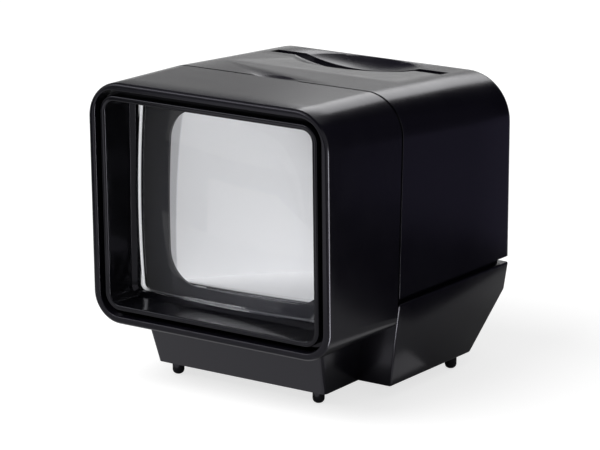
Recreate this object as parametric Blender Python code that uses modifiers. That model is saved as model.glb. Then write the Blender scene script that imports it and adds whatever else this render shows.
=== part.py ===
"""A battery slide viewer for mounted 35 mm slides, modelled as the pieces it comes apart into.

Metres, X to the right, Y from the viewing side to the back, Z up. The origin is on the table, under the
middle of the viewer. Depths named "from front" start at the foremost edge of the hood, and heights start
at the underside of the base tray, which stands one foot's height above the table.
"""
import math

import bmesh
import bpy
from mathutils import Matrix, Vector

# Clearances, and the distance at which two points of a mesh count as one
GAP = 0.0003
OVERRUN = 0.002
MERGE = 0.00001

# What the viewer is built around: a slide in its mount, and two round cells that are hardly longer
SLIDE_SIDE = 0.050
CELL_LONGER = 0.0005
CELL_LENGTH = SLIDE_SIDE + CELL_LONGER
CELL_RADIUS = 0.00725
CELL_NUB_RADIUS = 0.00275
CELL_NUB_HEIGHT = 0.001
CELL_EDGE = 0.0006

# The feet that it stands on
FOOT_HEIGHT = 0.0036

# Front hood, wider than the cells by the room beside them
CELL_SIDE_ROOM = 0.01225
HOOD_HALF_WIDTH = CELL_LENGTH / 2 + CELL_SIDE_ROOM
HOOD_BOTTOM = 0.0131
HOOD_CORNER = 0.0082
HOOD_LEAN = 0.0014
HOOD_WALL = 0.0021
HOOD_RIM_EDGE = 0.0004
SEAM_FROM_FRONT = 0.0314
SEAM_LEAN = 0.0018
SEAM_SPREAD = 0.0022
SEAM_HALF_WIDTH = HOOD_HALF_WIDTH + SEAM_SPREAD
SEAM_BOTTOM = 0.0162
HOOD_OVER_SEAM = 0.0009
SEAM_TOP_CORNER = 0.010
SEAM_BOTTOM_CORNER = 0.0035
HOOD_TONGUE_REACH = 0.0022
HOOD_TONGUE_ROOT = 0.0030
HOOD_TONGUE_WALL = 0.0009

# Lens tunnel, all offsets inwards from the hood's front outline
LIP_OFFSET = 0.0036
LIP_WIDTH = 0.0015
LIP_SETBACK = 0.0004
GROOVE_DEPTH = 0.0046
WEB_THICKNESS = 0.0014
LEDGE_DEPTH = 0.0113
LEDGE_BEVEL = 0.0009
LEDGE_RISE = 0.0014
POCKET_WALL = 0.0010

# Magnifier lens
LENS_OFFSET = 0.0061
LENS_FROM_FRONT = 0.0138
LENS_FLANGE = 0.0032
LENS_CURVE = 0.140

# Lens retainer, whose opening masks the lens
MASK_HALF_WIDTH = 0.0230
MASK_HALF_HEIGHT = 0.0228
MASK_CORNER = 0.0085
RETAINER_THICKNESS = 0.0015

# Rear housing
BACK_SPREAD = 0.0017
BACK_HALF_WIDTH = SEAM_HALF_WIDTH + BACK_SPREAD
ROOF_FALL = 0.0032
ROOF_ROOM = 0.0071
BACK_TOP_CORNER = 0.0115
BACK_EDGE = 0.0022
HOUSING_ABOVE_CHAMBER = 0.004
HOUSING_WALL = 0.0020
SLOT_TO_BACK = 0.0128
SLOT_END_ROOM = 0.0035
SLOT_LENGTH = SLIDE_SIDE + 2 * SLOT_END_ROOM
SLOT_WIDTH = 0.0043
SCOOP_HALF_LENGTH = 0.019
SCOOP_HALF_WIDTH = 0.012
SCOOP_DEPTH = 0.0026
SCOOP_BACKING = 0.0016
SCOOP_CURVE_DEPTH = 0.010
NOTCH_HALF_LENGTH = 0.0075
NOTCH_REACH = 0.0048
NOTCH_DEPTH = 0.0006
NOTCH_CURVE_DEPTH = 0.003
POST_RADIUS = 0.0024
POST_RIB = 0.002
POST_TOP = 0.040

# Light chamber, as long as the two cells under it and the wall behind them
MOUTH_BEHIND_SEAM = 0.00745
CRADLE_WALL = 0.001
CHAMBER_LENGTH = 4 * CELL_RADIUS + CRADLE_WALL
CHAMBER_WALL = 0.0012
CHAMBER_SIDE_ROOM = 0.0082
CHAMBER_MOUTH_HALF_WIDTH = SEAM_HALF_WIDTH - CHAMBER_SIDE_ROOM
CHAMBER_BACK_SPREAD = 0.0035
CHAMBER_BACK_HALF_WIDTH = SLIDE_SIDE / 2 + CHAMBER_BACK_SPREAD
CHAMBER_MOUTH_DROP = 0.0065
CHAMBER_BACK_DROP = 0.010
WINDOW_MARGIN = 0.005
WINDOW_SIDE = SLIDE_SIDE - 2 * WINDOW_MARGIN
RAIL_PLAY = 0.0007
EAR_LENGTH = 0.003
EAR_HEIGHT = 0.005
EAR_FROM_MOUTH = 0.002

# Opal diffuser, reflector and lamp board
DIFFUSER_THICKNESS = 0.0014
BOARD_THICKNESS = 0.001
BOARD_HALF_WIDTH = 0.019
BOARD_HALF_HEIGHT = 0.006
REFLECTOR_WALL = 0.001
LAMP_RADIUS = 0.0024
LAMP_SPACING = 0.026
LAMP_DOME = 0.0009

# Base tray
SHADOW_GAP = 0.0018
TRAY_INSET = 0.0026
TRAY_HALF_WIDTH = SEAM_HALF_WIDTH - TRAY_INSET
TRAY_DRAFT = 0.0026
TRAY_FLARE = 0.0013
TRAY_WALL = 0.0018
TRAY_EDGE = 0.0006
TRAY_BACK_INSET = 0.0003
CHAMFER_TO_BACK = 0.0152
CHAMFER_TO_HOUSING = 0.0094
CHAMFER_TOP_TO_BACK = 0.0009
PLINTH_FROM_FRONT = 0.0152
PLINTH_LEAN = 0.0036
PLINTH_HALF_WIDTH = 0.0268
PLINTH_DRAFT = 0.0015
PLINTH_WALL = 0.0017
PLINTH_EDGE = 0.0012
TONGUE_HEIGHT = 0.0030
TONGUE_WALL = 0.0012
LAMP_NOTCH_WALL = 0.0006
LEAD_NOTCH_FROM = 0.0100
HOOD_BOSS_X = 0.0172
HOOD_BOSS_TO_SEAM = 0.0052
HOOD_BOSS_FROM_FRONT = SEAM_FROM_FRONT - HOOD_BOSS_TO_SEAM
HOOD_BOSS_RADIUS = 0.0026
HOOD_BOSS_HEIGHT = 0.0058
SCREW_WELL_RADIUS = 0.0036
REAR_BOSS_INSET = 0.0032
REAR_BOSS_X = TRAY_HALF_WIDTH - REAR_BOSS_INSET
REAR_BOSS_TO_BACK = 0.0243
REAR_BOSS_RADIUS = 0.0029
REAR_BOSS_HEIGHT = 0.0085

# Screws
SCREW_RADIUS = 0.0011
SCREW_HEAD_RADIUS = 0.0019
SCREW_HEAD_HEIGHT = 0.0013
SCREW_LENGTH = 0.0065
SCREW_SEAT = 0.0022
SCREW_HOLE_PLAY = 0.0003

# Feet
FOOT_RADIUS = 0.0016
FOOT_ROUND = 0.0007
FOOT_SPIGOT_RADIUS = 0.0010
FOOT_SPIGOT_HEIGHT = 0.0015
FRONT_FOOT_X = 0.0226
FRONT_FOOT_FROM_FRONT = 0.0185
REAR_FOOT_INSET = 0.0018
REAR_FOOT_X = TRAY_HALF_WIDTH - REAR_FOOT_INSET
REAR_FOOT_TO_BACK = 0.0201

# Battery cradle and door
CELL_PLAY = 0.0003
CELL_SPRING_SPACE = 0.0048
DOOR_SHELF = 0.0009
DOOR_THICKNESS = 0.0009
DOOR_LEDGE = 0.0012
DOOR_NARROWER = 0.0009
DOOR_GRIP_COUNT = 5
DOOR_GRIP_PITCH = 0.0020
DOOR_GRIP_RADIUS = 0.0005
DOOR_GRIP_HALF_LENGTH = 0.007
CRADLE_RIB = 0.0016
CRADLE_RIB_RISE = 0.0016
CRADLE_RIB_HALF_LENGTH = 0.021
CRADLE_TAB_REACH = 0.0036
CRADLE_TAB_THICKNESS = 0.0013
CRADLE_TAB_FROM_FRONT = 0.038
CRADLE_TAB_LENGTH = 0.008

# Battery contacts and their springs
CONTACT_THICKNESS = 0.0004
CONTACT_SIDE = 0.011
COIL_WIRE_RADIUS = 0.0003
COIL_TOP_RADIUS = 0.0026
COIL_FOOT_RADIUS = 0.0040
COIL_TURNS = 3.5
SOLDER_TAB_WIDTH = 0.004
SOLDER_TAB_RISE = 0.0012

# Slide carrier, its springs and its switch
CARRIER_TRAVEL = 0.0035
CARRIER_FOOT_DEPTH = 0.008
CARRIER_FOOT_THICKNESS = 0.0025
CARRIER_SPRING_INSET = 0.005
CARRIER_SPRING_X = SLIDE_SIDE / 2 - CARRIER_SPRING_INSET
SPRING_RADIUS = 0.0023
SPRING_WIRE_RADIUS = 0.00025
SPRING_TURNS = 5.5
SPRING_SEAT_EDGE = 0.000026
SPRING_PIN_RADIUS = 0.0014
SPRING_PIN_HEIGHT = 0.0014
SPRING_SEAT_RADIUS = 0.0031
BLADE_THICKNESS = 0.00025
BLADE_WIDTH = 0.003
BLADE_PIVOT_X = 0.011
BLADE_PUSH_REACH = 0.018
BLADE_TIP_REACH = 0.021
FINGER_HALF_WIDTH = 0.001
SWITCH_BLOCK_LENGTH = 0.005
SWITCH_BLOCK_DEPTH = 0.005

# Leads
LEAD_RADIUS = 0.00045
LEAD_STEP = 0.0025
LEAD_BEND = 0.003
LEAD_END_X = 0.0165
LEAD_END_SPACING = 0.005

# Numbers of steps, which have no length
CORNER_STEPS = 6
ROUND_STEPS = 24
LENS_STEPS = 40
DOME_STEPS = 5
COIL_POINTS = 8

# What follows from them: the whole depth, and the heights from the cells up to the slide's top
VIEWER_DEPTH = SEAM_FROM_FRONT + MOUTH_BEHIND_SEAM + CHAMBER_LENGTH + SLOT_WIDTH / 2 + SLOT_TO_BACK
FRONT = -VIEWER_DEPTH / 2
BACK = VIEWER_DEPTH / 2
CELL_MIDDLE = DOOR_SHELF + GAP + DOOR_THICKNESS + CELL_PLAY + GAP + CELL_RADIUS
CRADLE_ROOF = CELL_MIDDLE + CELL_RADIUS + CELL_PLAY + GAP
CRADLE_TOP = CRADLE_ROOF + CRADLE_WALL
CHAMBER_UNDERSIDE = CRADLE_TOP + CRADLE_RIB_RISE
HOUSING_BOTTOM = CHAMBER_UNDERSIDE + HOUSING_ABOVE_CHAMBER
CHAMFER_RISE = HOUSING_BOTTOM - CHAMFER_TO_HOUSING
SEAM_TOP = CHAMBER_UNDERSIDE + SLIDE_SIDE + ROOF_ROOM
BACK_TOP = SEAM_TOP - ROOF_FALL
HOOD_TOP = SEAM_TOP + HOOD_OVER_SEAM
CHAMBER_MOUTH_TOP = SEAM_TOP - CHAMBER_MOUTH_DROP
CHAMBER_BACK_TOP = SEAM_TOP - CHAMBER_BACK_DROP


def from_front(depth):
    """World Y of a depth behind the hood's foremost edge."""
    return FRONT + depth


def up(height):
    """World Z of a height above the underside of the base tray."""
    return FOOT_HEIGHT + height


def share(low, high, part):
    return low + (high - low) * part


def hex_colour(code):
    """Linear colour of an sRGB hex code."""
    channels = [int(code[i:i + 2], 16) / 255 for i in (0, 2, 4)]
    return [c / 12.92 if c <= 0.04045 else ((c + 0.055) / 1.055) ** 2.4 for c in channels] + [1.0]


# Scene and materials

for leftover in list(bpy.data.objects):
    bpy.data.objects.remove(leftover, do_unlink=True)

PARTS = bpy.data.collections.new("slide_viewer")
CUTTERS = bpy.data.collections.new("cutters")
bpy.context.scene.collection.children.link(PARTS)
bpy.context.scene.collection.children.link(CUTTERS)


def make_material(name, code, roughness, metallic=0.0, transmission=0.0):
    material = bpy.data.materials.new(name)
    material.use_nodes = True
    shader = material.node_tree.nodes["Principled BSDF"]
    shader.inputs["Base Color"].default_value = hex_colour(code)
    shader.inputs["Roughness"].default_value = roughness
    shader.inputs["Metallic"].default_value = metallic
    shader.inputs["Transmission Weight"].default_value = transmission
    return material


BLACK_GLOSS = make_material("black_housing_plastic", "121217", 0.32)
BLACK_TUNNEL = make_material("black_tunnel_plastic", "0D0D10", 0.25)
BLACK_SATIN = make_material("black_inner_plastic", "17171B", 0.5)
CLEAR_ACRYLIC = make_material("clear_acrylic", "F4F6F8", 0.02, 0.0, 1.0)
WHITE_PLASTIC = make_material("white_chamber_plastic", "E6E6E4", 0.45)
OPAL_PLASTIC = make_material("opal_diffuser_plastic", "F3F3EF", 0.4)
FOOT_PLASTIC = make_material("black_foot_plastic", "0C0C0E", 0.15)
SPRING_STEEL = make_material("spring_steel", "B9BBBE", 0.3, 1.0)
CONTACT_BRASS = make_material("contact_brass", "C9A85A", 0.35, 1.0)
SCREW_STEEL = make_material("zinc_plated_steel", "A9ACB0", 0.35, 1.0)
BOARD_GREEN = make_material("board_laminate", "1F5A36", 0.5)
LAMP_EPOXY = make_material("lamp_epoxy", "F2EFD8", 0.15)
CELL_JACKET = make_material("cell_jacket", "3A4652", 0.35)
LEAD_RED = make_material("red_lead_vinyl", "A81E1E", 0.4)
LEAD_BLACK = make_material("black_lead_vinyl", "161616", 0.4)
LEAD_WHITE = make_material("white_lead_vinyl", "DADADA", 0.4)


# Making and cutting pieces

def finish_mesh(name, bm, material, collection, smooth_angle=math.radians(35)):
    """Turns a bmesh into an object of the collection, shaded smooth with its sharp edges kept."""
    mesh = bpy.data.meshes.new(name)
    bm.to_mesh(mesh)
    bm.free()
    mesh.shade_smooth()
    mesh.set_sharp_from_angle(angle=smooth_angle)
    if material is not None:
        mesh.materials.append(material)
    obj = bpy.data.objects.new(name, mesh)
    collection.objects.link(obj)
    if collection is CUTTERS:
        obj.hide_render = True
        obj.display_type = "WIRE"
    return obj


def piece(name, bm, material):
    return finish_mesh(name, bm, material, PARTS)


def cutter(name, bm):
    return finish_mesh(name, bm, None, CUTTERS)


def combine(obj, tool, operation):
    """Adds a live Boolean with one tool object from the cutters' collection."""
    modifier = obj.modifiers.new(operation.lower() + "_" + tool.name, "BOOLEAN")
    modifier.operation = operation
    modifier.object = tool
    modifier.solver = "EXACT"


def cut(obj, name, bm):
    combine(obj, cutter(name, bm), "DIFFERENCE")


def join(obj, name, bm):
    combine(obj, cutter(name, bm), "UNION")


def box(low, high):
    """A box between two corners."""
    bm = bmesh.new()
    bmesh.ops.create_cube(bm, size=1.0)
    size = [b - a for a, b in zip(low, high)]
    middle = [(a + b) / 2 for a, b in zip(low, high)]
    bmesh.ops.scale(bm, vec=size, verts=bm.verts)
    bmesh.ops.translate(bm, vec=middle, verts=bm.verts)
    return bm


def cylinder(centre, radius, height, steps=ROUND_STEPS, top_radius=None):
    """An upright cylinder or cone, which starts at the centre and rises by its height."""
    bm = bmesh.new()
    end_radius = radius if top_radius is None else top_radius
    bmesh.ops.create_cone(bm, cap_ends=True, segments=steps, radius1=radius, radius2=end_radius, depth=height)
    bmesh.ops.translate(bm, vec=(centre[0], centre[1], centre[2] + height / 2), verts=bm.verts)
    return bm


def ellipsoid(centre, half_axes, steps=ROUND_STEPS):
    bm = bmesh.new()
    bmesh.ops.create_uvsphere(bm, u_segments=2 * steps, v_segments=steps, radius=1.0)
    bmesh.ops.scale(bm, vec=half_axes, verts=bm.verts)
    bmesh.ops.translate(bm, vec=centre, verts=bm.verts)
    return bm


def merged(parts):
    """Several closed shapes in one bmesh, as separate bodies."""
    bm = bmesh.new()
    for part in parts:
        mesh = bpy.data.meshes.new("scratch")
        part.to_mesh(mesh)
        part.free()
        bm.from_mesh(mesh)
        bpy.data.meshes.remove(mesh)
    return bm


def loft(rings, closed_rings=True, cap_ends=True, closed_loft=False):
    """Skins a list of rings, each a list of (x, y, z) with as many points as the others."""
    bm = bmesh.new()
    rows = [[bm.verts.new(point) for point in ring] for ring in rings]
    count = len(rows[0])
    pairs = list(zip(rows, rows[1:]))
    if closed_loft:
        pairs.append((rows[-1], rows[0]))
    steps = count if closed_rings else count - 1
    for row, following in pairs:
        for i in range(steps):
            j = (i + 1) % count
            bm.faces.new((row[i], row[j], following[j], following[i]))
    if cap_ends and not closed_loft:
        bm.faces.new(list(reversed(rows[0])))
        bm.faces.new(rows[-1])
    if closed_loft or (cap_ends and closed_rings):
        bmesh.ops.recalc_face_normals(bm, faces=bm.faces)
    return bm


def point_away(bm, centre):
    """Turns the faces of an open shell so that they point away from its middle."""
    middle = Vector(centre)
    bm.normal_update()
    score = sum((face.calc_center_median() - middle).dot(face.normal) * face.calc_area() for face in bm.faces)
    if score < 0:
        bmesh.ops.reverse_faces(bm, faces=bm.faces)


def arc(centre, radius, start, end, steps=CORNER_STEPS):
    """Points (u, v) along an arc, angles in quarter turns."""
    points = []
    for step in range(steps + 1):
        angle = math.pi / 2 * share(start, end, step / steps)
        points.append((centre[0] + radius * math.cos(angle), centre[1] + radius * math.sin(angle)))
    return points


def rounded_outline(half_width, bottom, top, bottom_radius, top_radius):
    """A rectangle with rounded corners as (x, z), counter-clockwise from its lower right corner."""
    points = arc((half_width - bottom_radius, bottom + bottom_radius), bottom_radius, -1, 0)
    points += arc((half_width - top_radius, top - top_radius), top_radius, 0, 1)
    points += arc((-half_width + top_radius, top - top_radius), top_radius, 1, 2)
    points += arc((-half_width + bottom_radius, bottom + bottom_radius), bottom_radius, 2, 3)
    return points


def arch_outline(half_width, bottom, top, radius):
    """The same without its floor, from the lower right end round to the lower left one."""
    points = [(half_width, bottom)]
    points += arc((half_width - radius, top - radius), radius, 0, 1)
    points += arc((-half_width + radius, top - radius), radius, 1, 2)
    points.append((-half_width, bottom))
    return points


# The outlines that several pieces share

def hood_part(depth):
    """How far a depth behind the front lies on the way to the seam, from 0 to 1."""
    return depth / SEAM_FROM_FRONT


def hood_section(depth, inset=0.0):
    """The hood's outline at a depth, drawn in by an inset."""
    part = hood_part(depth)
    return rounded_outline(share(HOOD_HALF_WIDTH, SEAM_HALF_WIDTH, part) - inset,
                           share(HOOD_BOTTOM, SEAM_BOTTOM, part) + inset,
                           share(HOOD_TOP, SEAM_TOP, part) - inset,
                           max(share(HOOD_CORNER, SEAM_BOTTOM_CORNER, part) - inset, GAP),
                           max(share(HOOD_CORNER, SEAM_TOP_CORNER, part) - inset, GAP))


def front_y(height):
    """The leaning front plane."""
    return FRONT + HOOD_LEAN * (HOOD_TOP - height) / (HOOD_TOP - HOOD_BOTTOM)


def seam_y(height):
    """The leaning plane where the hood meets the rear housing."""
    return from_front(SEAM_FROM_FRONT) - SEAM_LEAN * (SEAM_TOP - height) / (SEAM_TOP - SEAM_BOTTOM)


def hood_floor(depth):
    """Height of the hood's flat underside at a depth."""
    return share(HOOD_BOTTOM, SEAM_BOTTOM, hood_part(depth))


def on_plane(points, y_of_height, shift=0.0):
    return [(x, y_of_height(z) + shift, up(z)) for x, z in points]


def at_depth(points, depth):
    return [(x, from_front(depth), up(z)) for x, z in points]


def roof_height(y):
    """Height of the rear housing's sloping roof at a world Y."""
    part = (y - from_front(SEAM_FROM_FRONT)) / (BACK - from_front(SEAM_FROM_FRONT))
    return share(SEAM_TOP, BACK_TOP, part)


def housing_section(y, inset=0.0):
    part = (y - from_front(SEAM_FROM_FRONT)) / (BACK - from_front(SEAM_FROM_FRONT))
    return arch_outline(share(SEAM_HALF_WIDTH, BACK_HALF_WIDTH, part) - inset, HOUSING_BOTTOM,
                        share(SEAM_TOP, BACK_TOP, part) - inset,
                        share(SEAM_TOP_CORNER, BACK_TOP_CORNER, part) - inset)


SLOT_Y = BACK - SLOT_TO_BACK
GATE_Y = SLOT_Y - SLOT_WIDTH / 2
DIFFUSER_Y = SLOT_Y + SLOT_WIDTH / 2
BACK_INNER = BACK - HOUSING_WALL
BOARD_Y = BACK_INNER - GAP - BOARD_THICKNESS
REFLECTOR_Y = DIFFUSER_Y + DIFFUSER_THICKNESS + GAP
REFLECTOR_BACK = BOARD_Y - GAP
MOUTH_Y = GATE_Y - CHAMBER_LENGTH
CARRIER_TOP = roof_height(SLOT_Y) - SLIDE_SIDE
WINDOW_MIDDLE = CARRIER_TOP - CARRIER_TRAVEL + SLIDE_SIDE / 2
TRAY_TOP = HOUSING_BOTTOM - SHADOW_GAP
TRAY_FRONT = seam_y(TRAY_TOP) + 2 * GAP
PANEL_TOP = CHAMBER_BACK_TOP + CHAMBER_WALL
PANEL_HALF_WIDTH = CHAMBER_BACK_HALF_WIDTH


# Front hood: the surround that the eye looks into, one moulding with a rounded rectangular section

def hood_tongue():
    """An open arch from inside the hood's wall to past the seam, which locates the rear housing's roof."""
    low = TRAY_TOP + SHADOW_GAP + TONGUE_HEIGHT + 2 * GAP
    rings = []
    for depth, inset in ((SEAM_FROM_FRONT - HOOD_TONGUE_ROOT, HOOD_WALL - HOOD_TONGUE_WALL / 2),
                         (SEAM_FROM_FRONT, HOUSING_WALL + 2 * GAP),
                         (SEAM_FROM_FRONT + HOOD_TONGUE_REACH, HOUSING_WALL + 2 * GAP)):
        part = hood_part(depth)
        outline = arch_outline(share(HOOD_HALF_WIDTH, SEAM_HALF_WIDTH, part) - inset, low,
                               share(HOOD_TOP, SEAM_TOP, part) - inset,
                               share(HOOD_CORNER, SEAM_TOP_CORNER, part) - inset)
        rings.append(on_plane(outline, seam_y, from_front(depth) - from_front(SEAM_FROM_FRONT)))
    bm = loft(rings, closed_rings=False, cap_ends=False)
    point_away(bm, (0.0, from_front(SEAM_FROM_FRONT), up(low)))
    tongue = cutter("hood_tongue", bm)
    wall = tongue.modifiers.new("wall", "SOLIDIFY")
    wall.thickness = HOOD_TONGUE_WALL
    wall.offset = -1.0
    wall.use_even_offset = True
    return tongue


def make_front_hood():
    rings = [on_plane(hood_section(0.0), front_y), on_plane(hood_section(SEAM_FROM_FRONT), seam_y)]
    bm = loft(rings, cap_ends=False)
    point_away(bm, (0.0, from_front(SEAM_FROM_FRONT / 2), up((HOOD_TOP + HOOD_BOTTOM) / 2)))
    hood = piece("front_hood", bm, BLACK_GLOSS)
    wall = hood.modifiers.new("wall", "SOLIDIFY")
    wall.thickness = HOOD_WALL
    wall.offset = -1.0
    wall.use_even_offset = True
    rim = hood.modifiers.new("rim", "BEVEL")
    rim.width = HOOD_RIM_EDGE
    rim.segments = 2
    rim.limit_method = "ANGLE"
    rim.angle_limit = math.radians(50)
    combine(hood, hood_tongue(), "UNION")
    floor = hood_floor(HOOD_BOSS_FROM_FRONT)
    for side, name in ((-1, "left"), (1, "right")):
        centre = (side * HOOD_BOSS_X, from_front(HOOD_BOSS_FROM_FRONT), up(floor + HOOD_WALL / 2))
        join(hood, "hood_boss_" + name, cylinder(centre, HOOD_BOSS_RADIUS, HOOD_BOSS_HEIGHT))
        start = (centre[0], centre[1], up(floor) - OVERRUN)
        depth = HOOD_BOSS_HEIGHT + OVERRUN
        cut(hood, "hood_boss_hole_" + name, cylinder(start, SCREW_RADIUS + GAP, depth))
    return hood


# Lens tunnel: the inner frame whose lip shows inside the hood's rim, with the ledge that the lens rests on

def tunnel_ring(inset, depth):
    return at_depth(hood_section(0.0, inset), depth)


def make_lens_tunnel():
    lip_inner = LIP_OFFSET + LIP_WIDTH
    ledge_inner = lip_inner + LEDGE_RISE
    pocket = LENS_OFFSET - GAP
    pocket_outer = pocket - POCKET_WALL
    ledge_back = LENS_FROM_FRONT - GAP
    web_back = GROOVE_DEPTH + WEB_THICKNESS
    web_front = at_depth(hood_section(GROOVE_DEPTH, HOOD_WALL + 2 * GAP), GROOVE_DEPTH)
    web_rear = at_depth(hood_section(web_back, HOOD_WALL + 2 * GAP), web_back)
    rings = [on_plane(hood_section(0.0, LIP_OFFSET), front_y, LIP_SETBACK),
             tunnel_ring(LIP_OFFSET, GROOVE_DEPTH),
             web_front,
             web_rear,
             tunnel_ring(LIP_OFFSET, web_back),
             tunnel_ring(pocket_outer, LEDGE_DEPTH + LEDGE_BEVEL),
             tunnel_ring(pocket_outer, pocket_end()),
             tunnel_ring(pocket, pocket_end()),
             tunnel_ring(pocket, ledge_back),
             tunnel_ring(ledge_inner, ledge_back),
             tunnel_ring(ledge_inner, LEDGE_DEPTH + LEDGE_BEVEL),
             tunnel_ring(lip_inner, LEDGE_DEPTH),
             on_plane(hood_section(0.0, lip_inner), front_y, LIP_SETBACK)]
    return piece("lens_tunnel", loft(rings, closed_loft=True), BLACK_TUNNEL)


# Magnifier lens: a rectangular acrylic lens, domed on each face from corner to corner, with a thin
# flange all round

def lens_outline():
    """The outline of the domed part, which passes through the tunnel's ledge."""
    return hood_section(0.0, LIP_OFFSET + LIP_WIDTH + LEDGE_RISE + GAP)


def lens_middle():
    return (HOOD_TOP + HOOD_BOTTOM) / 2


def lens_reach():
    """Distance from the axis to the outline's farthest corner, where the domes run out."""
    return max(math.hypot(x, height - lens_middle()) for x, height in lens_outline())


def dome_height(at_radius=0.0):
    """How far a dome of the lens stands above its flange at a distance from the axis."""
    flat = math.sqrt(LENS_CURVE ** 2 - lens_reach() ** 2)
    return max(math.sqrt(LENS_CURVE ** 2 - at_radius ** 2) - flat, 0.0)


def make_lens():
    outer = HOOD_HALF_WIDTH + HOOD_TOP - HOOD_BOTTOM
    radii = [lens_reach() * step / DOME_STEPS for step in range(DOME_STEPS + 1)]
    front = [(radius, LENS_FLANGE + dome_height(radius)) for radius in radii]
    back = [(radius, -dome_height(radius)) for radius in reversed(radii)]
    profile = front + [(outer, LENS_FLANGE), (outer, 0.0)] + back
    bm = bmesh.new()
    verts = [bm.verts.new((radius, 0.0, height)) for radius, height in profile]
    for first, second in zip(verts, verts[1:]):
        bm.edges.new((first, second))
    lens = piece("magnifier_lens", bm, CLEAR_ACRYLIC)
    screw = lens.modifiers.new("turned", "SCREW")
    screw.axis = "Z"
    screw.steps = LENS_STEPS
    screw.render_steps = LENS_STEPS
    screw.use_merge_vertices = True
    screw.merge_threshold = MERGE
    lens.location = (0.0, from_front(LENS_FROM_FRONT + LENS_FLANGE), up(lens_middle()))
    lens.rotation_euler = (math.pi / 2, 0.0, 0.0)
    reach = 2 * dome_height() + OVERRUN
    outline = lens_outline()
    rings = [at_depth(outline, LENS_FROM_FRONT - reach), at_depth(outline, LENS_FROM_FRONT + reach)]
    combine(lens, cutter("lens_optic_outline", loft(rings)), "INTERSECT")
    flange = hood_section(0.0, LENS_OFFSET)
    rings = [at_depth(flange, LENS_FROM_FRONT), at_depth(flange, LENS_FROM_FRONT + LENS_FLANGE)]
    join(lens, "lens_flange", loft(rings))
    return lens


# Lens retainer: the flat frame clipped in behind the lens, which bears on its back dome and masks it

def retainer_y():
    return LENS_FROM_FRONT + LENS_FLANGE + dome_height(MASK_HALF_HEIGHT) + GAP


def pocket_end():
    return retainer_y() + RETAINER_THICKNESS + GAP


def make_lens_retainer():
    near = retainer_y()
    far = near + RETAINER_THICKNESS
    middle = lens_middle()
    mask = rounded_outline(MASK_HALF_WIDTH, middle - MASK_HALF_HEIGHT, middle + MASK_HALF_HEIGHT,
                           MASK_CORNER, MASK_CORNER)
    rings = [tunnel_ring(LENS_OFFSET, near), tunnel_ring(LENS_OFFSET, far)]
    rings += [at_depth(mask, far), at_depth(mask, near)]
    return piece("lens_retainer", loft(rings, closed_loft=True), BLACK_SATIN)


# Rear housing: the upper rear shell, with the slide slot, the finger scoop and the pry notch in its roof

def scoop_tool():
    """The ellipsoid that cuts the finger scoop."""
    rise = SCOOP_CURVE_DEPTH - SCOOP_DEPTH
    spread = math.sqrt(1 - (rise / SCOOP_CURVE_DEPTH) ** 2)
    axes = (SCOOP_HALF_LENGTH / spread, SCOOP_HALF_WIDTH / spread, SCOOP_CURVE_DEPTH)
    return ellipsoid((0.0, SLOT_Y, up(roof_height(SLOT_Y) + rise)), axes)


def roof_pad():
    """A thicker patch under the roof, which gives the scoop its floor. Its faces follow the roof's slope."""
    low_y = SLOT_Y - SCOOP_HALF_WIDTH
    high_y = BACK - HOUSING_WALL / 2
    half = SCOOP_HALF_LENGTH
    thick = SCOOP_DEPTH + SCOOP_BACKING
    rings = []
    for y in (low_y, high_y):
        top = up(roof_height(y) - HOUSING_WALL / 2)
        bottom = up(roof_height(y) - thick)
        rings.append([(-half, y, bottom), (half, y, bottom), (half, y, top), (-half, y, top)])
    return loft(rings)


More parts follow.
